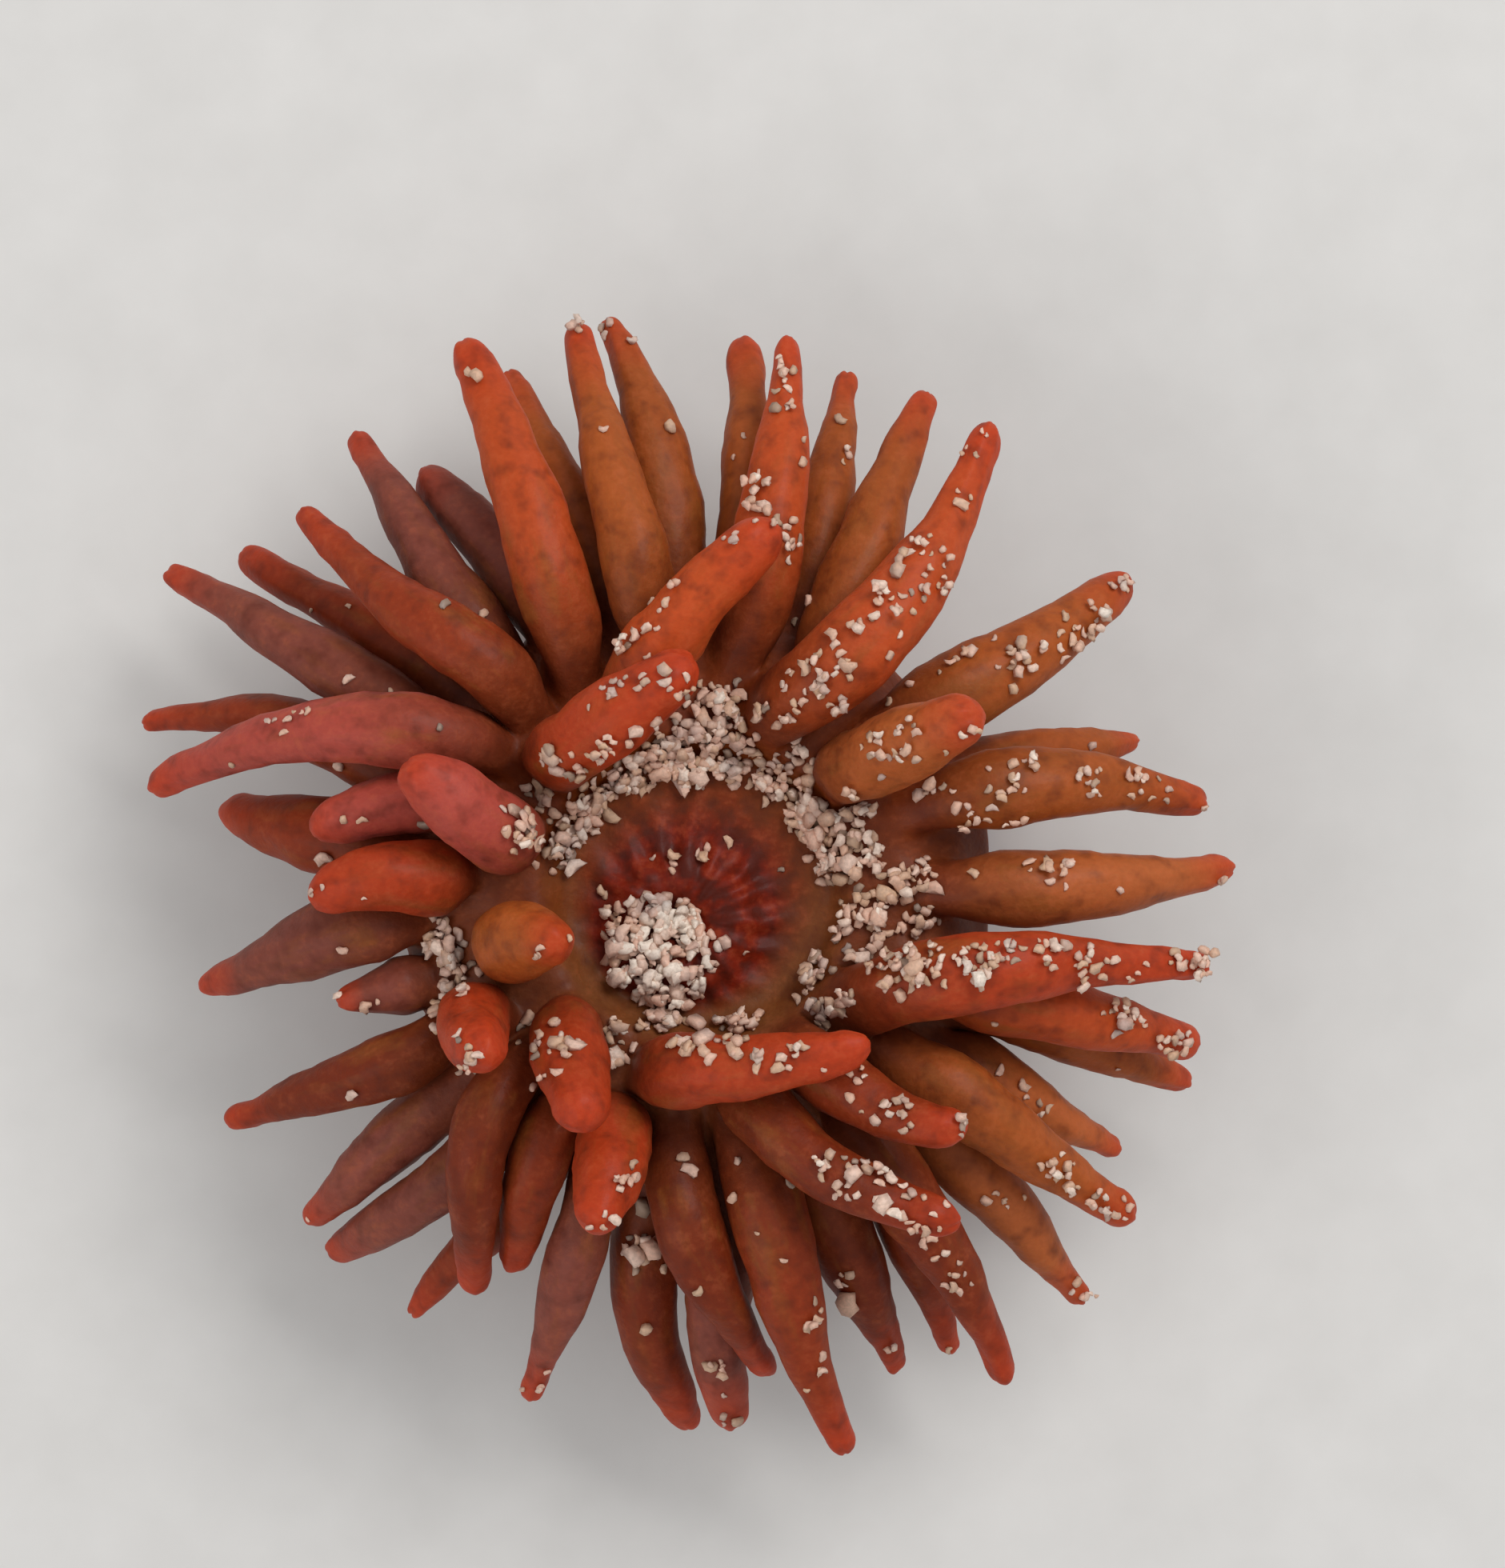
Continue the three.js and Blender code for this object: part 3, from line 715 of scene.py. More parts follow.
def swell(skin, settings):
    """Moves the finished skin's vertices a little: swellings, wrinkles, the folds and creases of the
    tentacles, the mouth's ribs and the foot's lobes."""
    mesh = skin.data
    normals = [v.normal.copy() for v in mesh.vertices]
    read = {name: [item.value for item in mesh.attributes[name].data] for name in SKIN_VALUES}
    for v, normal in zip(mesh.vertices, normals):
        place = v.co / MM
        swelling = noise.noise(place / settings.swelling_size) * settings.swelling
        swelling += noise.noise(place / settings.wrinkle_size) * settings.wrinkles
        swelling *= min(1.0, place.z / FOOT_LOBES_TOP)
        past_root = max(0.0, min(1.0, (read["along"][v.index] - ROOT_SHARE[0]) / ROOT_SHARE[1]))
        if past_root > 0:
            seed, length = read["seed"][v.index], read["length"][v.index]
            out = Vector((read["around_x"][v.index], read["around_y"][v.index], 0))
            fold = noise.noise(out * FOLD_TURN + Vector((seed, 0, length / FOLD_LENGTH)))
            crease = noise.noise(out * CREASE_TURN + Vector((0, seed, length / CREASE_LENGTH)))
            swelling += past_root * (fold * settings.fold_depth + crease * settings.crease_depth)
        rib = read["mouth"][v.index]
        if rib > 0:
            away = place.xy - Vector(MOUTH_CENTRE)
            bearing = math.atan2(away.y, away.x)
            strayed = RIB_COUNT * bearing + RIB_WANDER * noise.noise(place / RIB_WANDER_SIZE)
            spread = min(1.0, away.length / RIB_REACH) ** 2
            swelling += rib * spread * settings.rib_depth * math.cos(strayed)
        if place.z < FOOT_LOBES_TOP:
            bearing = math.atan2(place.y, place.x)
            wander = sum(share * math.sin(waves * bearing + at) for share, waves, at in FOOT_WAVES)
            share = FOOT_LOBES * wander * (1 - place.z / FOOT_LOBES_TOP)
            v.co.x *= 1 + share
            v.co.y *= 1 + share
        v.co += normal * swelling * MM


class ANEMONE_OT_skin(bpy.types.Operator):
    """Models the whole animal's skin and hides the solids that it stands for"""

    bl_idname = "anemone.skin"
    bl_label = "Model the skin"

    def execute(self, context):
        settings = context.scene.anemone_skin
        random = Random(SKIN_SEED)
        colours = context.scene.anemone_colours
        skin = model_body(colours.root)
        bpy.ops.object.mode_set(mode="EDIT")
        bm = bmesh.from_edit_mesh(skin.data)
        grown = []
        for ring, (_, width) in BANDS.items():
            names = sorted(name for name in frame["nodes"] if name.startswith(f"tentacle_{ring}_"))
            found = [rings_of(frame["nodes"][name]) for name in names]
            roots = [rings[0][0] for rings, _ in found]
            bearings = [math.degrees(math.atan2(root.y, root.x)) % FULL_TURN for root in roots]
            middles = join_cells(bm, ring, width, cells_for(bearings, width))
            tones = [tone_of(ring, int(name[-2:]), colours, random) for name in names]
            grown += [(middle, *shape, tone) for middle, shape, tone in zip(middles, found, tones)]
        for middle, rings, tip, tone in grown:
            path = path_of(rings, tip, random)
            seed = random.uniform(0, LAST_TENTACLE_SEED)
            grow_tentacle(bm, face_nearest(bm, middle), path, tip, tone, seed)
        low, high = BODY_LOOPS[BEAD_LOOP], BODY_LOOPS[BEAD_LOOP + 1]
        for i in range(BEAD_COUNT):
            bearing = (i * SEGMENTS // BEAD_COUNT + BEAD_START) * SEGMENT_TURN
            place = at_bearing(bearing, (low[0] + high[0]) / 2, (low[1] + high[1]) / 2)
            grow_bead(bm, face_nearest(bm, place))
        bpy.ops.mesh.select_all(action="SELECT")
        bpy.ops.mesh.normals_make_consistent(inside=False)
        bpy.ops.object.mode_set(mode="OBJECT")

        make_active(skin)
        smoother = skin.modifiers.new("smoothing", "SUBSURF")
        smoother.levels = smoother.render_levels = settings.smoothing
        bpy.ops.object.modifier_apply(modifier=smoother.name)
        swell(skin, settings)
        bpy.ops.object.shade_smooth()
        skin.data.materials.append(make_flesh(colours))
        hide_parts(*frame["nodes"])
        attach(skin, "root")
        return {"FINISHED"}


# ---------------------------------------------------------------- the sand
def model_grain(number):
    """One shape of grain, one unit across: a box rounded to a pebble of 24 faces, squashed and curled."""
    deselect_everything()
    bpy.ops.mesh.primitive_cube_add(size=GRAIN_BOX * MM, location=(0, 0, 0))
    grain = bpy.context.object
    flattest, roundest = GRAIN_FLATNESS
    flatness = flattest + (roundest - flattest) * number / (GRAIN_SHAPES - 1)
    bpy.ops.object.mode_set(mode="EDIT")
    bpy.ops.mesh.select_all(action="SELECT")
    bpy.ops.mesh.subdivide(number_cuts=1)
    bpy.ops.transform.tosphere(value=GRAIN_ROUNDING)
    bpy.ops.transform.vertex_random(offset=GRAIN_ROUGHNESS * MM, seed=number + GRAIN_SHAPE_SEED)
    thinnest, gain = GRAIN_WIDTH
    bpy.ops.transform.resize(value=(1.0, thinnest + gain * flatness, flatness))
    bpy.ops.object.mode_set(mode="OBJECT")
    for v in grain.data.vertices:
        bulge = GRAIN_CURL * (1 - flatness) * v.co.x * v.co.x / (HALF_GRAIN * MM)
        v.co.z += bulge / 2
        v.co.y += bulge
    grain.select_set(True)
    bpy.ops.object.shade_smooth()
    return grain


class SandBed:
    """Finds where grains come to rest on the skin, and keeps count of those that lie there already."""

    def __init__(self, skin, settings):
        bm = bmesh.new()
        bm.from_mesh(skin.data)
        self.tree = BVHTree.FromBMesh(bm)
        bm.free()
        self.random = Random(SAND_SEED)
        self.settings = settings
        self.places = []

    def clump(self, x, y, manner, near=None, within=0.0):
        """Drops a few grains close together round x, y, in millimetres."""
        share, pale = manner
        for _ in range(self.random.choice(CLUMPS)):
            away = [self.random.gauss(0, CLUMP_SPREAD) for _ in range(2)]
            size = self.random.uniform(*GRAIN_SIZES)
            if self.random.random() < FLAKE_SHARE:
                size = self.random.uniform(*FLAKE_SIZES)
            if self.random.random() < self.settings.amount:
                self.drop(x + away[0], y + away[1], share * size, pale, near, within)

    def drop(self, x, y, size, pale=0.0, near=None, within=0.0):
        """Drops one grain, which must land within this distance of near, if that is given."""
        start = Vector((x * MM, y * MM, DROP_HEIGHT * MM))
        place, normal, _, _ = self.tree.ray_cast(start, Vector((0, 0, -1)))
        if place is None or normal.z < STEEPEST:
            return
        if near is not None:
            if (place - near).length > within or normal.z < STEEPEST_TENTACLE:
                return
            size = min(size, LEVEL_SIZE * normal.z)
        below = sum((place - other).length < PILE_REACH * MM for other, *_ in self.places)
        lift = min(below, PILE_MOST) * PILE_STEP
        self.places.append((place, normal, size, lift, pale))

    def heap(self, manner, middle, half_width, count):
        """Drops a round heap of clumps."""
        for _ in range(count):
            angle = self.random.uniform(0, 2 * math.pi)
            reach = half_width * math.sqrt(self.random.random())
            self.clump(middle[0] + reach * math.cos(angle), middle[1] + reach * math.sin(angle), manner)


def thinned(count):
    """The grains that are left of a patch on a tentacle after every thinning."""
    for share in THINNINGS:
        count = max(FEWEST_GRAINS, round(count * share))
    return count


def strew(bed, paths):
    """Drops every grain of sand, on the disc, in the mouth and on the tentacles."""
    random = bed.random
    for first, last, inner, outer, count in SAND_ON_DISC:
        for _ in range(count):
            place = at_bearing(random.uniform(first, last), random.uniform(inner, outer), 0) / MM
            bed.clump(place.x, place.y, ON_DISC)
    bed.heap(IN_MOUTH, *SAND_IN_MOUTH)
    for heap in SAND_AT_LIPS + SAND_HEAPS:
        bed.heap(ON_DISC, *heap)
    for ring, number, first, last, side, spread, count in SAND_ON_TENTACLES:
        middles, radii = paths[f"tentacle_{ring}_{number:02d}"]
        for _ in range(thinned(count)):
            at = random.uniform(first, last) * (len(middles) - 1)
            i = min(int(at), len(middles) - 2)
            here = middles[i].lerp(middles[i + 1], at - i)
            radius = radii[i] + (radii[i + 1] - radii[i]) * (at - i)
            way = middles[i + 1] - middles[i]
            left = Vector((-way.y, way.x, 0)).normalized()
            shift = max(-SIDE_MOST, min(SIDE_MOST, side + random.uniform(-spread, spread)))
            place = (here + left * shift * radius) / MM
            bed.clump(place.x, place.y, ON_TENTACLE, here, LANDING_REACH * radius)
    for _ in range(LOOSE_GRAINS):
        bearing = random.uniform(0, FULL_TURN)
        place = at_bearing(bearing, CROWN_REACH * math.sqrt(random.random()), 0) / MM
        bed.drop(place.x, place.y, random.uniform(*GRAIN_SIZES))
    for x, y, size in LONE_FLAKES:
        bed.drop(x, y, size)


class ANEMONE_OT_sand(bpy.types.Operator):
    """Strews grains of sand over the disc and the tentacles"""

    bl_idname = "anemone.sand"
    bl_label = "Strew the sand"

    def execute(self, context):
        settings = context.scene.anemone_sand
        shapes = [model_grain(number) for number in range(GRAIN_SHAPES)]
        bed = SandBed(bpy.data.objects["anemone_skin"], settings)
        paths = {}
        for name, node in frame["nodes"].items():
            if name.startswith("tentacle_"):
                rings, tip = rings_of(node)
                middles = [middle for middle, _ in rings] + [tip]
                radii = [radius for _, radius in rings] + [rings[-1][1]]
                paths[name] = (middles, radii)
        strew(bed, paths)
        random = Random(TINT_SEED)
        grains = []
        for place, normal, size, lift, pale in bed.places:
            number = random.randrange(GRAIN_SHAPES)
            grain = shapes[number].copy()
            grain.data = shapes[number].data.copy()
            context.collection.objects.link(grain)
            tint = grain.data.attributes.new("tint", "FLOAT", "POINT")
            # A grain's tone: random, paler higher in a pile (painted shade, so the lower grains are darker),
            # and paler in some places.
            light = random.uniform(*GRAIN_TINTS) + PAINTED_PILE_SHADE * lift / (PILE_MOST * PILE_STEP) + pale
            tint.data.foreach_set("value", [light] * len(tint.data))
            up = (normal + GRAIN_TILT * Vector([random.uniform(-1, 1) for _ in range(3)])).normalized()
            turned = Matrix.Rotation(random.uniform(0, GRAIN_TURN), 3, "Z")
            turn = up.to_track_quat("Z", "X").to_matrix() @ turned
            height = shapes[number].dimensions.z / 2 / MM * (1 - 2 * settings.sinking) * size
            grain.matrix_world = (
                Matrix.Translation(place + normal * (height + lift) * MM)
                @ turn.to_4x4()
                @ Matrix.Scale(size, 4)
            )
            grains.append(grain)
        for shape in shapes:
            bpy.data.objects.remove(shape)
        deselect_everything()
        for grain in grains:
            grain.select_set(True)
        context.view_layer.objects.active = grains[0]
        bpy.ops.object.join()
        bpy.ops.object.transform_apply(location=True, rotation=True, scale=True)
        sand = context.object
        sand.name = sand.data.name = "sand_grains"
        sand.data.materials.append(make_sand(context.scene.anemone_colours))
        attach(sand, "root")
        return {"FINISHED"}


# ---------------------------------------------------------------- materials
# How fine each pattern is, in waves to the millimetre, and the detail of its noise.
BLOTCHES, CLOUDS, FLECKS = 0.30, 0.9, 3.0
SAND_PATCHES, SAND_FLECKS = 0.45, 6.0
BOARD_GRAIN = 0.2
RAYS = 2.2  # how fast the rays from the mouth change round it
STREAKS_ROUND, STREAKS_ALONG = 1.7, 0.35  # how fast the streaks change round and along a tentacle
DETAIL, CLOUD_DETAIL, FLECK_DETAIL, STREAK_DETAIL, RAY_DETAIL, BOARD_DETAIL = 3.0, 2.0, 5.0, 4.0, 1.0, 6.0
NOISE_ROUGHNESS = 0.55

# Where one look turns into the next, as (none of it here, all of it here). First along a tentacle, in
# shares of its length.
TONE_BEGINS = (0.0, 0.42)
TIP_BEGINS = (0.72, 0.98)
STREAKS_BEGIN = (0.12, 0.20)
OLIVE_ENDS = (0.80, 0.25)
BODY_ENDS = (0.13, 0.0)
BLOTCH_WANDER = 0.3  # how far the blotches move them
# On the body, in millimetres of Y and of Z.
DISC_TURNS_RUST = (-5, 5)
RAY_WANDER = 1.2  # how much of that turn the rays add
FOOT_EDGE_BEGINS = (0.9, 0.3)
# In the values of a noise.
FLESH_FLECKS, SAND_FLECK_SPAN = (0.56, 0.30), (0.60, 0.35)
OLIVE_STREAKS = (0.50, 0.68)
DARK_CLOUDS = (0.50, 0.25)
PALE_CLOUDS = (0.58, 0.80)
MOUTH_SHADE = (0.68, 0.50)
SLATE_PATCHES = (0.50, 0.68)

# How strong each look is, and the shares of two noises in a mix.
OLIVE_STRENGTH, TIP_STRENGTH, DARK_STRENGTH, PALE_STRENGTH = 0.6, 0.8, 0.5, 0.20
FLECKS_IN_DARK = 0.22
FLECKS_IN_PALE, CLOUDS_IN_PALE = 0.5, 0.6
CLOUDS_IN_MOUTH, RAYS_IN_MOUTH = 0.8, 0.4
SAND_FLECK_STRENGTH, SLATE_STRENGTH = 0.35, 0.55
LEAST_ROUGHNESS, FLECK_ROUGHNESS = 0.42, 0.20
STREAK_HEIGHT = 0.5  # of the flecks' height
BUMP_STRENGTH, BUMP_DEPTH = 0.6, 0.08


def new_material(name):
    material = bpy.data.materials.new(name)
    material.use_nodes = True
    return material


def add(tree, kind, inputs=None, **properties):
    """A new node with its properties and its inputs: a value is set, and a socket is linked."""
    node = tree.nodes.new(kind)
    for name, value in properties.items():
        setattr(node, name, value)
    for key, value in (inputs or {}).items():
        if isinstance(value, bpy.types.NodeSocket):
            tree.links.new(value, node.inputs[key])
        else:
            node.inputs[key].default_value = value
    return node


def value_of(tree, name):
    return add(tree, "ShaderNodeAttribute", attribute_name=name).outputs["Fac"]


def ramp(tree, factor, stops):
    """A colour ramp through stops of (place, colour)."""
    node = add(tree, "ShaderNodeValToRGB", {"Fac": factor})
    elements = node.color_ramp.elements
    while len(elements) < len(stops):
        elements.new(0.5)
    for element, (place, colour) in zip(elements, stops):
        element.position = place
        element.color = (*colour, 1)
    return node.outputs["Color"]


def blend(tree, factor, low, high):
    node = add(tree, "ShaderNodeMix", {"Factor": factor}, data_type="RGBA")
    for key, value in (("A", low), ("B", high)):
        socket = next(s for s in node.inputs if s.name == key and s.type == "RGBA")
        if isinstance(value, bpy.types.NodeSocket):
            tree.links.new(value, socket)
        else:
            socket.default_value = (*value, 1)
    return next(s for s in node.outputs if s.type == "RGBA")


def noise_of(tree, place, scale, detail):
    values = {"Vector": place, "Scale": scale, "Detail": detail, "Roughness": NOISE_ROUGHNESS}
    return add(tree, "ShaderNodeTexNoise", values).outputs["Fac"]


def fleck_group():
    """The node group for flecks: a fine noise, and a mask that rises from Start to Full of that noise."""
    group = bpy.data.node_groups.get("flecks")
    if group:
        return group
    group = bpy.data.node_groups.new("flecks", "ShaderNodeTree")
    group.interface.new_socket("Place", in_out="INPUT", socket_type="NodeSocketVector")
    for name in ("Scale", "Detail", "Start", "Full"):
        group.interface.new_socket(name, in_out="INPUT", socket_type="NodeSocketFloat")
    for name in ("Noise", "Mask"):
        group.interface.new_socket(name, in_out="OUTPUT", socket_type="NodeSocketFloat")
    given = group.nodes.new("NodeGroupInput").outputs
    put_out = group.nodes.new("NodeGroupOutput").inputs
    fine = noise_of(group, given["Place"], given["Scale"], given["Detail"])
    group.links.new(fine, put_out["Noise"])
    group.links.new(span(group, fine, given["Start"], given["Full"]), put_out["Mask"])
    return group


def flecks_of(tree, place, scale, detail, start, full):
    """The noise and the mask of flecks."""
    values = {"Place": place, "Scale": scale, "Detail": detail, "Start": start, "Full": full}
    node = add(tree, "ShaderNodeGroup", values, node_tree=fleck_group())
    return node.outputs["Noise"], node.outputs["Mask"]


def span(tree, value, low, high):
    """Spreads value from low..high to 0..1, and holds it there."""
    node = add(tree, "ShaderNodeMapRange", {"Value": value, "From Min": low, "From Max": high}, clamp=True)
    return node.outputs["Result"]


def calculate(tree, operation, *values):
    node = add(tree, "ShaderNodeMath", dict(enumerate(values)), operation=operation)
    return node.outputs["Value"]


def combine(tree, x, y, z):
    return add(tree, "ShaderNodeCombineXYZ", {"X": x, "Y": y, "Z": z}).outputs["Vector"]


def tentacle_place(tree):
    """Coordinates that run round and along a tentacle, and differ between tentacles."""
    seed = value_of(tree, "seed")
    return combine(
        tree,
        calculate(tree, "MULTIPLY_ADD", value_of(tree, "around_x"), STREAKS_ROUND, seed),
        calculate(tree, "MULTIPLY", value_of(tree, "around_y"), STREAKS_ROUND),
        calculate(tree, "MULTIPLY", value_of(tree, "length"), STREAKS_ALONG),
    )


def rays_from_mouth(tree, place):
    """Coordinates that are the same all along a line from the mouth outwards."""
    centred = add(
        tree,
        "ShaderNodeMapping",
        {"Vector": place, "Location": [-c * MM for c in MOUTH_CENTRE] + [0.0], "Scale": (1, 1, 0)},
    )
    ray = add(tree, "ShaderNodeVectorMath", {0: centred.outputs["Vector"]}, operation="NORMALIZE")
    return ray.outputs["Vector"]


def tentacle_colour(tree, along, blotches, streaks, colours):
    """From the brown root through the tentacle's tone to the red tip, with olive streaks. For the mauve,
    deep red and honey tentacles the tone holds painted reflection, painted shade and painted light.
    """
    tone = add(tree, "ShaderNodeAttribute", attribute_name=FLESH_TONE).outputs["Color"]
    off_middle = calculate(tree, "SUBTRACT", blotches, 0.5)
    wavering = calculate(tree, "MULTIPLY_ADD", off_middle, BLOTCH_WANDER, along)
    colour = blend(tree, span(tree, wavering, *TONE_BEGINS), colours.root, tone)
    olive = calculate(tree, "MULTIPLY", span(tree, streaks, *OLIVE_STREAKS), span(tree, along, *OLIVE_ENDS))
    olive = calculate(tree, "MULTIPLY", olive, OLIVE_STRENGTH)
    colour = blend(tree, olive, colour, colours.olive_patch)
    reddened = calculate(tree, "MULTIPLY", span(tree, wavering, *TIP_BEGINS), TIP_STRENGTH)
    return blend(tree, reddened, colour, colours.tip)


def body_colour(tree, place, rays, colours):
    """The column with the line round its foot, and the oral disc, which turns from olive to rust."""
    parts = add(tree, "ShaderNodeSeparateXYZ", {"Vector": place})
    side = span(tree, parts.outputs["Y"], *(y * MM for y in DISC_TURNS_RUST))
    off_middle = calculate(tree, "SUBTRACT", rays, 0.5)
    rusty = calculate(tree, "MULTIPLY_ADD", off_middle, RAY_WANDER, side)
    disc_colour = blend(tree, rusty, colours.disc_olive, colours.disc_rust)
    colour = blend(tree, value_of(tree, "disc"), colours.column, disc_colour)
    low = span(tree, parts.outputs["Z"], *(z * MM for z in FOOT_EDGE_BEGINS))
    return blend(tree, low, colour, colours.foot_edge)


def make_flesh(colours):
    """Soft, faintly see-through flesh, from the red column to the orange tips of the tentacles."""
    material = new_material("anemone_flesh")
    tree = material.node_tree
    shader = tree.nodes["Principled BSDF"]
    place = add(tree, "ShaderNodeTexCoord").outputs["Object"]
    along = value_of(tree, "along")
    blotches = noise_of(tree, place, BLOTCHES / MM, DETAIL)
    specks, flecks = flecks_of(tree, place, FLECKS / MM, FLECK_DETAIL, *FLESH_FLECKS)
    clouds = noise_of(tree, place, CLOUDS / MM, CLOUD_DETAIL)
    rays = noise_of(tree, rays_from_mouth(tree, place), RAYS, RAY_DETAIL)
    streaks = noise_of(tree, tentacle_place(tree), 1.0, STREAK_DETAIL)
    streaks = calculate(tree, "MULTIPLY", streaks, span(tree, along, *STREAKS_BEGIN))

    colour = blend(
        tree,
        span(tree, along, *BODY_ENDS),
        tentacle_colour(tree, along, blotches, streaks, colours),
        body_colour(tree, place, rays, colours),
    )
    weak_rays = calculate(tree, "MULTIPLY", rays, RAYS_IN_MOUTH)
    pleats = calculate(tree, "MULTIPLY_ADD", clouds, CLOUDS_IN_MOUTH, weak_rays)
    mouth_colour = blend(tree, span(tree, pleats, *MOUTH_SHADE), colours.mouth, colours.mouth_plum)
    colour = blend(tree, value_of(tree, "mouth"), colour, mouth_colour)
    colour = blend(tree, value_of(tree, "bead"), colour, colours.bead)
    dark = calculate(tree, "MULTIPLY_ADD", flecks, FLECKS_IN_DARK, span(tree, clouds, *DARK_CLOUDS))
    dark = calculate(tree, "MULTIPLY", dark, DARK_STRENGTH)
    colour = blend(tree, dark, colour, colours.shadow)
    weak_clouds = calculate(tree, "MULTIPLY", clouds, CLOUDS_IN_PALE)
    light = calculate(tree, "MULTIPLY_ADD", specks, FLECKS_IN_PALE, weak_clouds)
    light = calculate(tree, "MULTIPLY", span(tree, light, *PALE_CLOUDS), PALE_STRENGTH)
    colour = blend(tree, light, colour, colours.glow)
    tree.links.new(colour, shader.inputs["Base Color"])

    roughness = calculate(tree, "MULTIPLY_ADD", specks, FLECK_ROUGHNESS, LEAST_ROUGHNESS)
    tree.links.new(roughness, shader.inputs["Roughness"])
    height = calculate(tree, "MULTIPLY_ADD", streaks, STREAK_HEIGHT, specks)
    values = {"Height": height, "Strength": BUMP_STRENGTH, "Distance": BUMP_DEPTH * MM}
    bump = add(tree, "ShaderNodeBump", values)
    tree.links.new(bump.outputs["Normal"], shader.inputs["Normal"])
    shader.inputs["Subsurface Weight"].default_value = 0.2
    shader.inputs["Subsurface Radius"].default_value = (1.0, 0.30, 0.15)
    shader.inputs["Subsurface Scale"].default_value = 1.0 * MM
    shader.inputs["Specular IOR Level"].default_value = 0.15
    shader.inputs["Coat Weight"].default_value = 0.03
    shader.inputs["Coat Roughness"].default_value = 0.15
    return material


def make_sand(colours):
    """Bleached shell sand: each grain has its own tone and is darker low in a pile, as painted shade, with
    faint flecks, and some patches are greyer.
    """
    material = new_material("shell_sand")
    tree = material.node_tree
    shader = tree.nodes["Principled BSDF"]
    place = add(tree, "ShaderNodeTexCoord").outputs["Object"]
    stops = (
        (0.04, colours.sand_grey),
        (0.18, colours.sand_cream),
        (0.50, colours.sand_pink),
        (0.95, colours.sand_white),
    )
    # This value holds each grain's own tone and the painted shade of the lower grains in a pile.
    tone = ramp(tree, value_of(tree, "tint"), stops)
    patches = noise_of(tree, place, SAND_PATCHES / MM, DETAIL)
    slate = calculate(tree, "MULTIPLY", span(tree, patches, *SLATE_PATCHES), SLATE_STRENGTH)
    tone = blend(tree, slate, tone, colours.sand_slate)
    _, flecks = flecks_of(tree, place, SAND_FLECKS / MM, DETAIL, *SAND_FLECK_SPAN)
    dark = calculate(tree, "MULTIPLY", flecks, SAND_FLECK_STRENGTH)
    tree.links.new(blend(tree, dark, tone, colours.sand_grey), shader.inputs["Base Color"])
    shader.inputs["Roughness"].default_value = 0.55
    return material


def make_floor_finish():
    """A pale matt board."""
    material = new_material("stage_board")
    tree = material.node_tree
    shader = tree.nodes["Principled BSDF"]
    place = add(tree, "ShaderNodeTexCoord").outputs["Object"]
    grain = noise_of(tree, place, BOARD_GRAIN / MM, BOARD_DETAIL)
    colour = ramp(tree, grain, ((0.3, BOARD_DARK), (0.7, BOARD_PALE)))
    tree.links.new(colour, shader.inputs["Base Color"])
    shader.inputs["Roughness"].default_value = 0.8
    return material


# ---------------------------------------------------------------- the stage
BOARD_DARK, BOARD_PALE = (0.66, 0.64, 0.61), (0.70, 0.68, 0.65)
SKY_COLOUR = (0.95, 0.97, 1.0, 1)
# The lights, as (place, side of the square).
KEY_LIGHT = ((220, 260, 420), 260)
FILL_LIGHT = ((-300, -180, 300), 320)
# The camera looks straight down from half a metre above the crown, with +Y up in the picture.
CAMERA_PLACE = (2.82, 5.2, 514.0)
SIGHT_PLANE = 14.0
VIEW_HEIGHT = 78.4  # of the picture, at the sight plane
SENSOR = 36.0
NEAREST_SEEN = 10.0


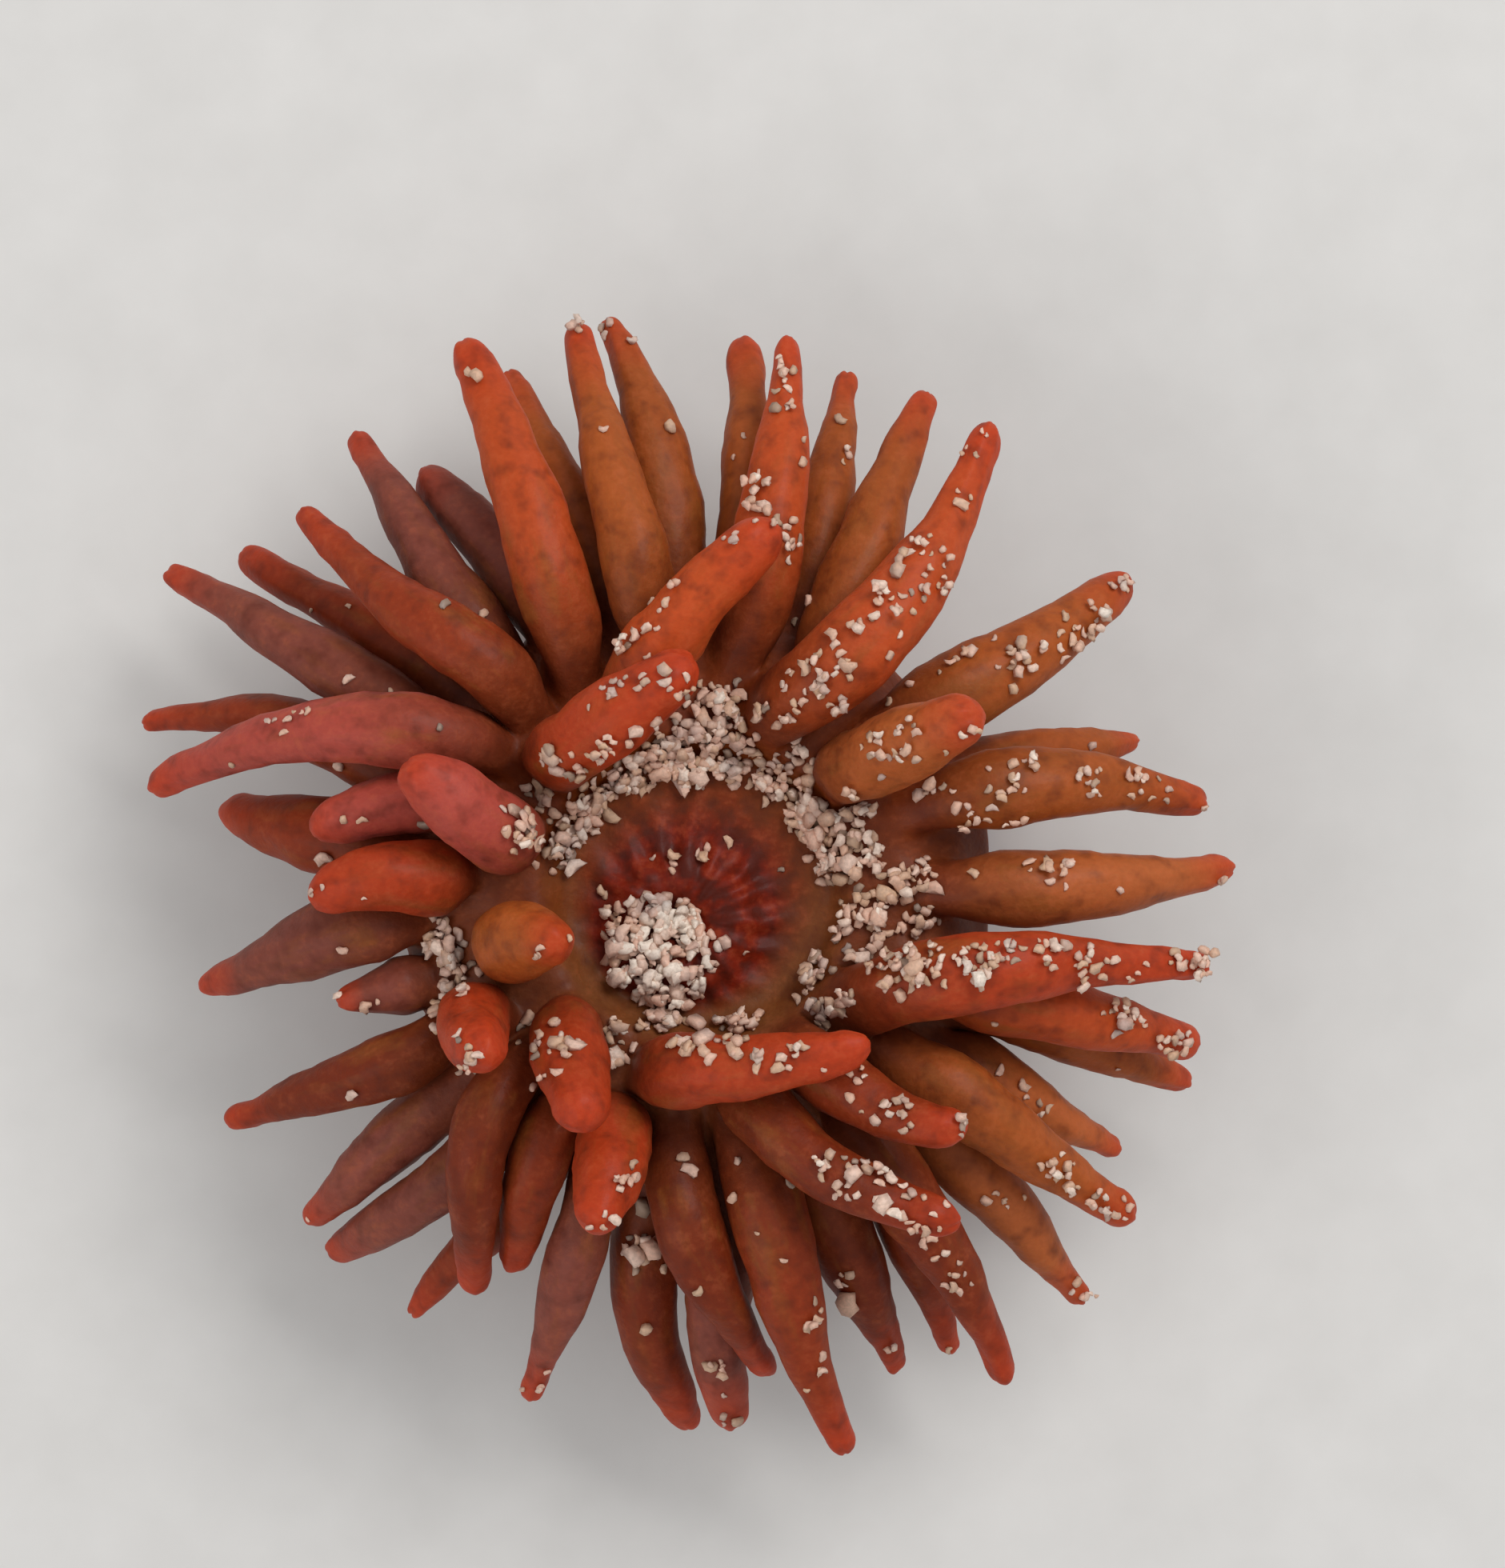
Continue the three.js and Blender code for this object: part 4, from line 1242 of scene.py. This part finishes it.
class ANEMONE_OT_stage(bpy.types.Operator):
    """Lays the floor and sets the lights and the camera"""

    bl_idname = "anemone.stage"
    bl_label = "Set the stage"

    def execute(self, context):
        settings = context.scene.anemone_stage
        deselect_everything()
        bpy.ops.mesh.primitive_plane_add(size=settings.floor_size, location=(0, 0, 0))
        floor = context.object
        floor.name = "stage_floor"
        bpy.ops.object.mode_set(mode="EDIT")
        bpy.ops.mesh.subdivide(number_cuts=3)
        bpy.ops.object.mode_set(mode="OBJECT")
        floor.data.materials.append(make_floor_finish())

        self.add_light("key_light", settings.key_power, *KEY_LIGHT)
        self.add_light("fill_light", settings.fill_power, *FILL_LIGHT)
        world = bpy.data.worlds.new("soft_sky")
        world.use_nodes = True
        background = world.node_tree.nodes["Background"]
        background.inputs["Color"].default_value = SKY_COLOUR
        background.inputs["Strength"].default_value = settings.sky
        context.scene.world = world
        context.scene.view_settings.view_transform = "Standard"

        place = Vector(CAMERA_PLACE) * MM
        bpy.ops.object.camera_add(location=place, rotation=(0, 0, 0))
        camera = context.object
        camera.name = "camera"
        camera.data.sensor_fit = "AUTO"
        camera.data.sensor_width = SENSOR
        camera.data.lens = SENSOR * (CAMERA_PLACE[2] - SIGHT_PLANE) / VIEW_HEIGHT
        camera.data.clip_start = NEAREST_SEEN * MM
        context.scene.camera = camera
        return {"FINISHED"}

    def add_light(self, name, power, place, size):
        """A square soft light that faces the middle of the floor."""
        bpy.ops.object.light_add(type="AREA", location=Vector(place) * MM)
        light = bpy.context.object
        light.name = name
        light.data.energy = power
        light.data.size = size * MM
        light.rotation_euler = Vector(place).to_track_quat("Z", "Y").to_euler()


# ---------------------------------------------------------------- panel and registration
class ANEMONE_PT_panel(bpy.types.Panel):
    """Lists the settings, and the buttons that model the skin, strew the sand and set the stage."""

    bl_idname = "ANEMONE_PT_panel"
    bl_label = "Beadlet anemone"
    bl_space_type = "VIEW_3D"
    bl_region_type = "UI"
    bl_category = "Anemone"

    def draw(self, context):
        for name in SETTINGS:
            group = getattr(context.scene, name)
            column = self.layout.column(align=True)
            for key in group.bl_rna.properties.keys():
                if key not in ("name", "rna_type"):
                    column.prop(group, key)
        for operator in OPERATORS:
            self.layout.operator(operator.bl_idname)


SETTINGS = {
    "anemone_skin": ANEMONE_PG_skin,
    "anemone_sand": ANEMONE_PG_sand,
    "anemone_colours": ANEMONE_PG_colours,
    "anemone_stage": ANEMONE_PG_stage,
}
OPERATORS = (ANEMONE_OT_skin, ANEMONE_OT_sand, ANEMONE_OT_stage)
CLASSES = (*SETTINGS.values(), *OPERATORS, ANEMONE_PT_panel)


def register():
    for cls in CLASSES:
        bpy.utils.register_class(cls)
    for name, group in SETTINGS.items():
        setattr(bpy.types.Scene, name, PointerProperty(type=group))


def unregister():
    for name in SETTINGS:
        delattr(bpy.types.Scene, name)
    for cls in reversed(CLASSES):
        bpy.utils.unregister_class(cls)


def main():
    register()
    bpy.ops.anemone.skin()
    bpy.ops.anemone.sand()
    bpy.ops.anemone.stage()


if __name__ == "__main__":
    main()
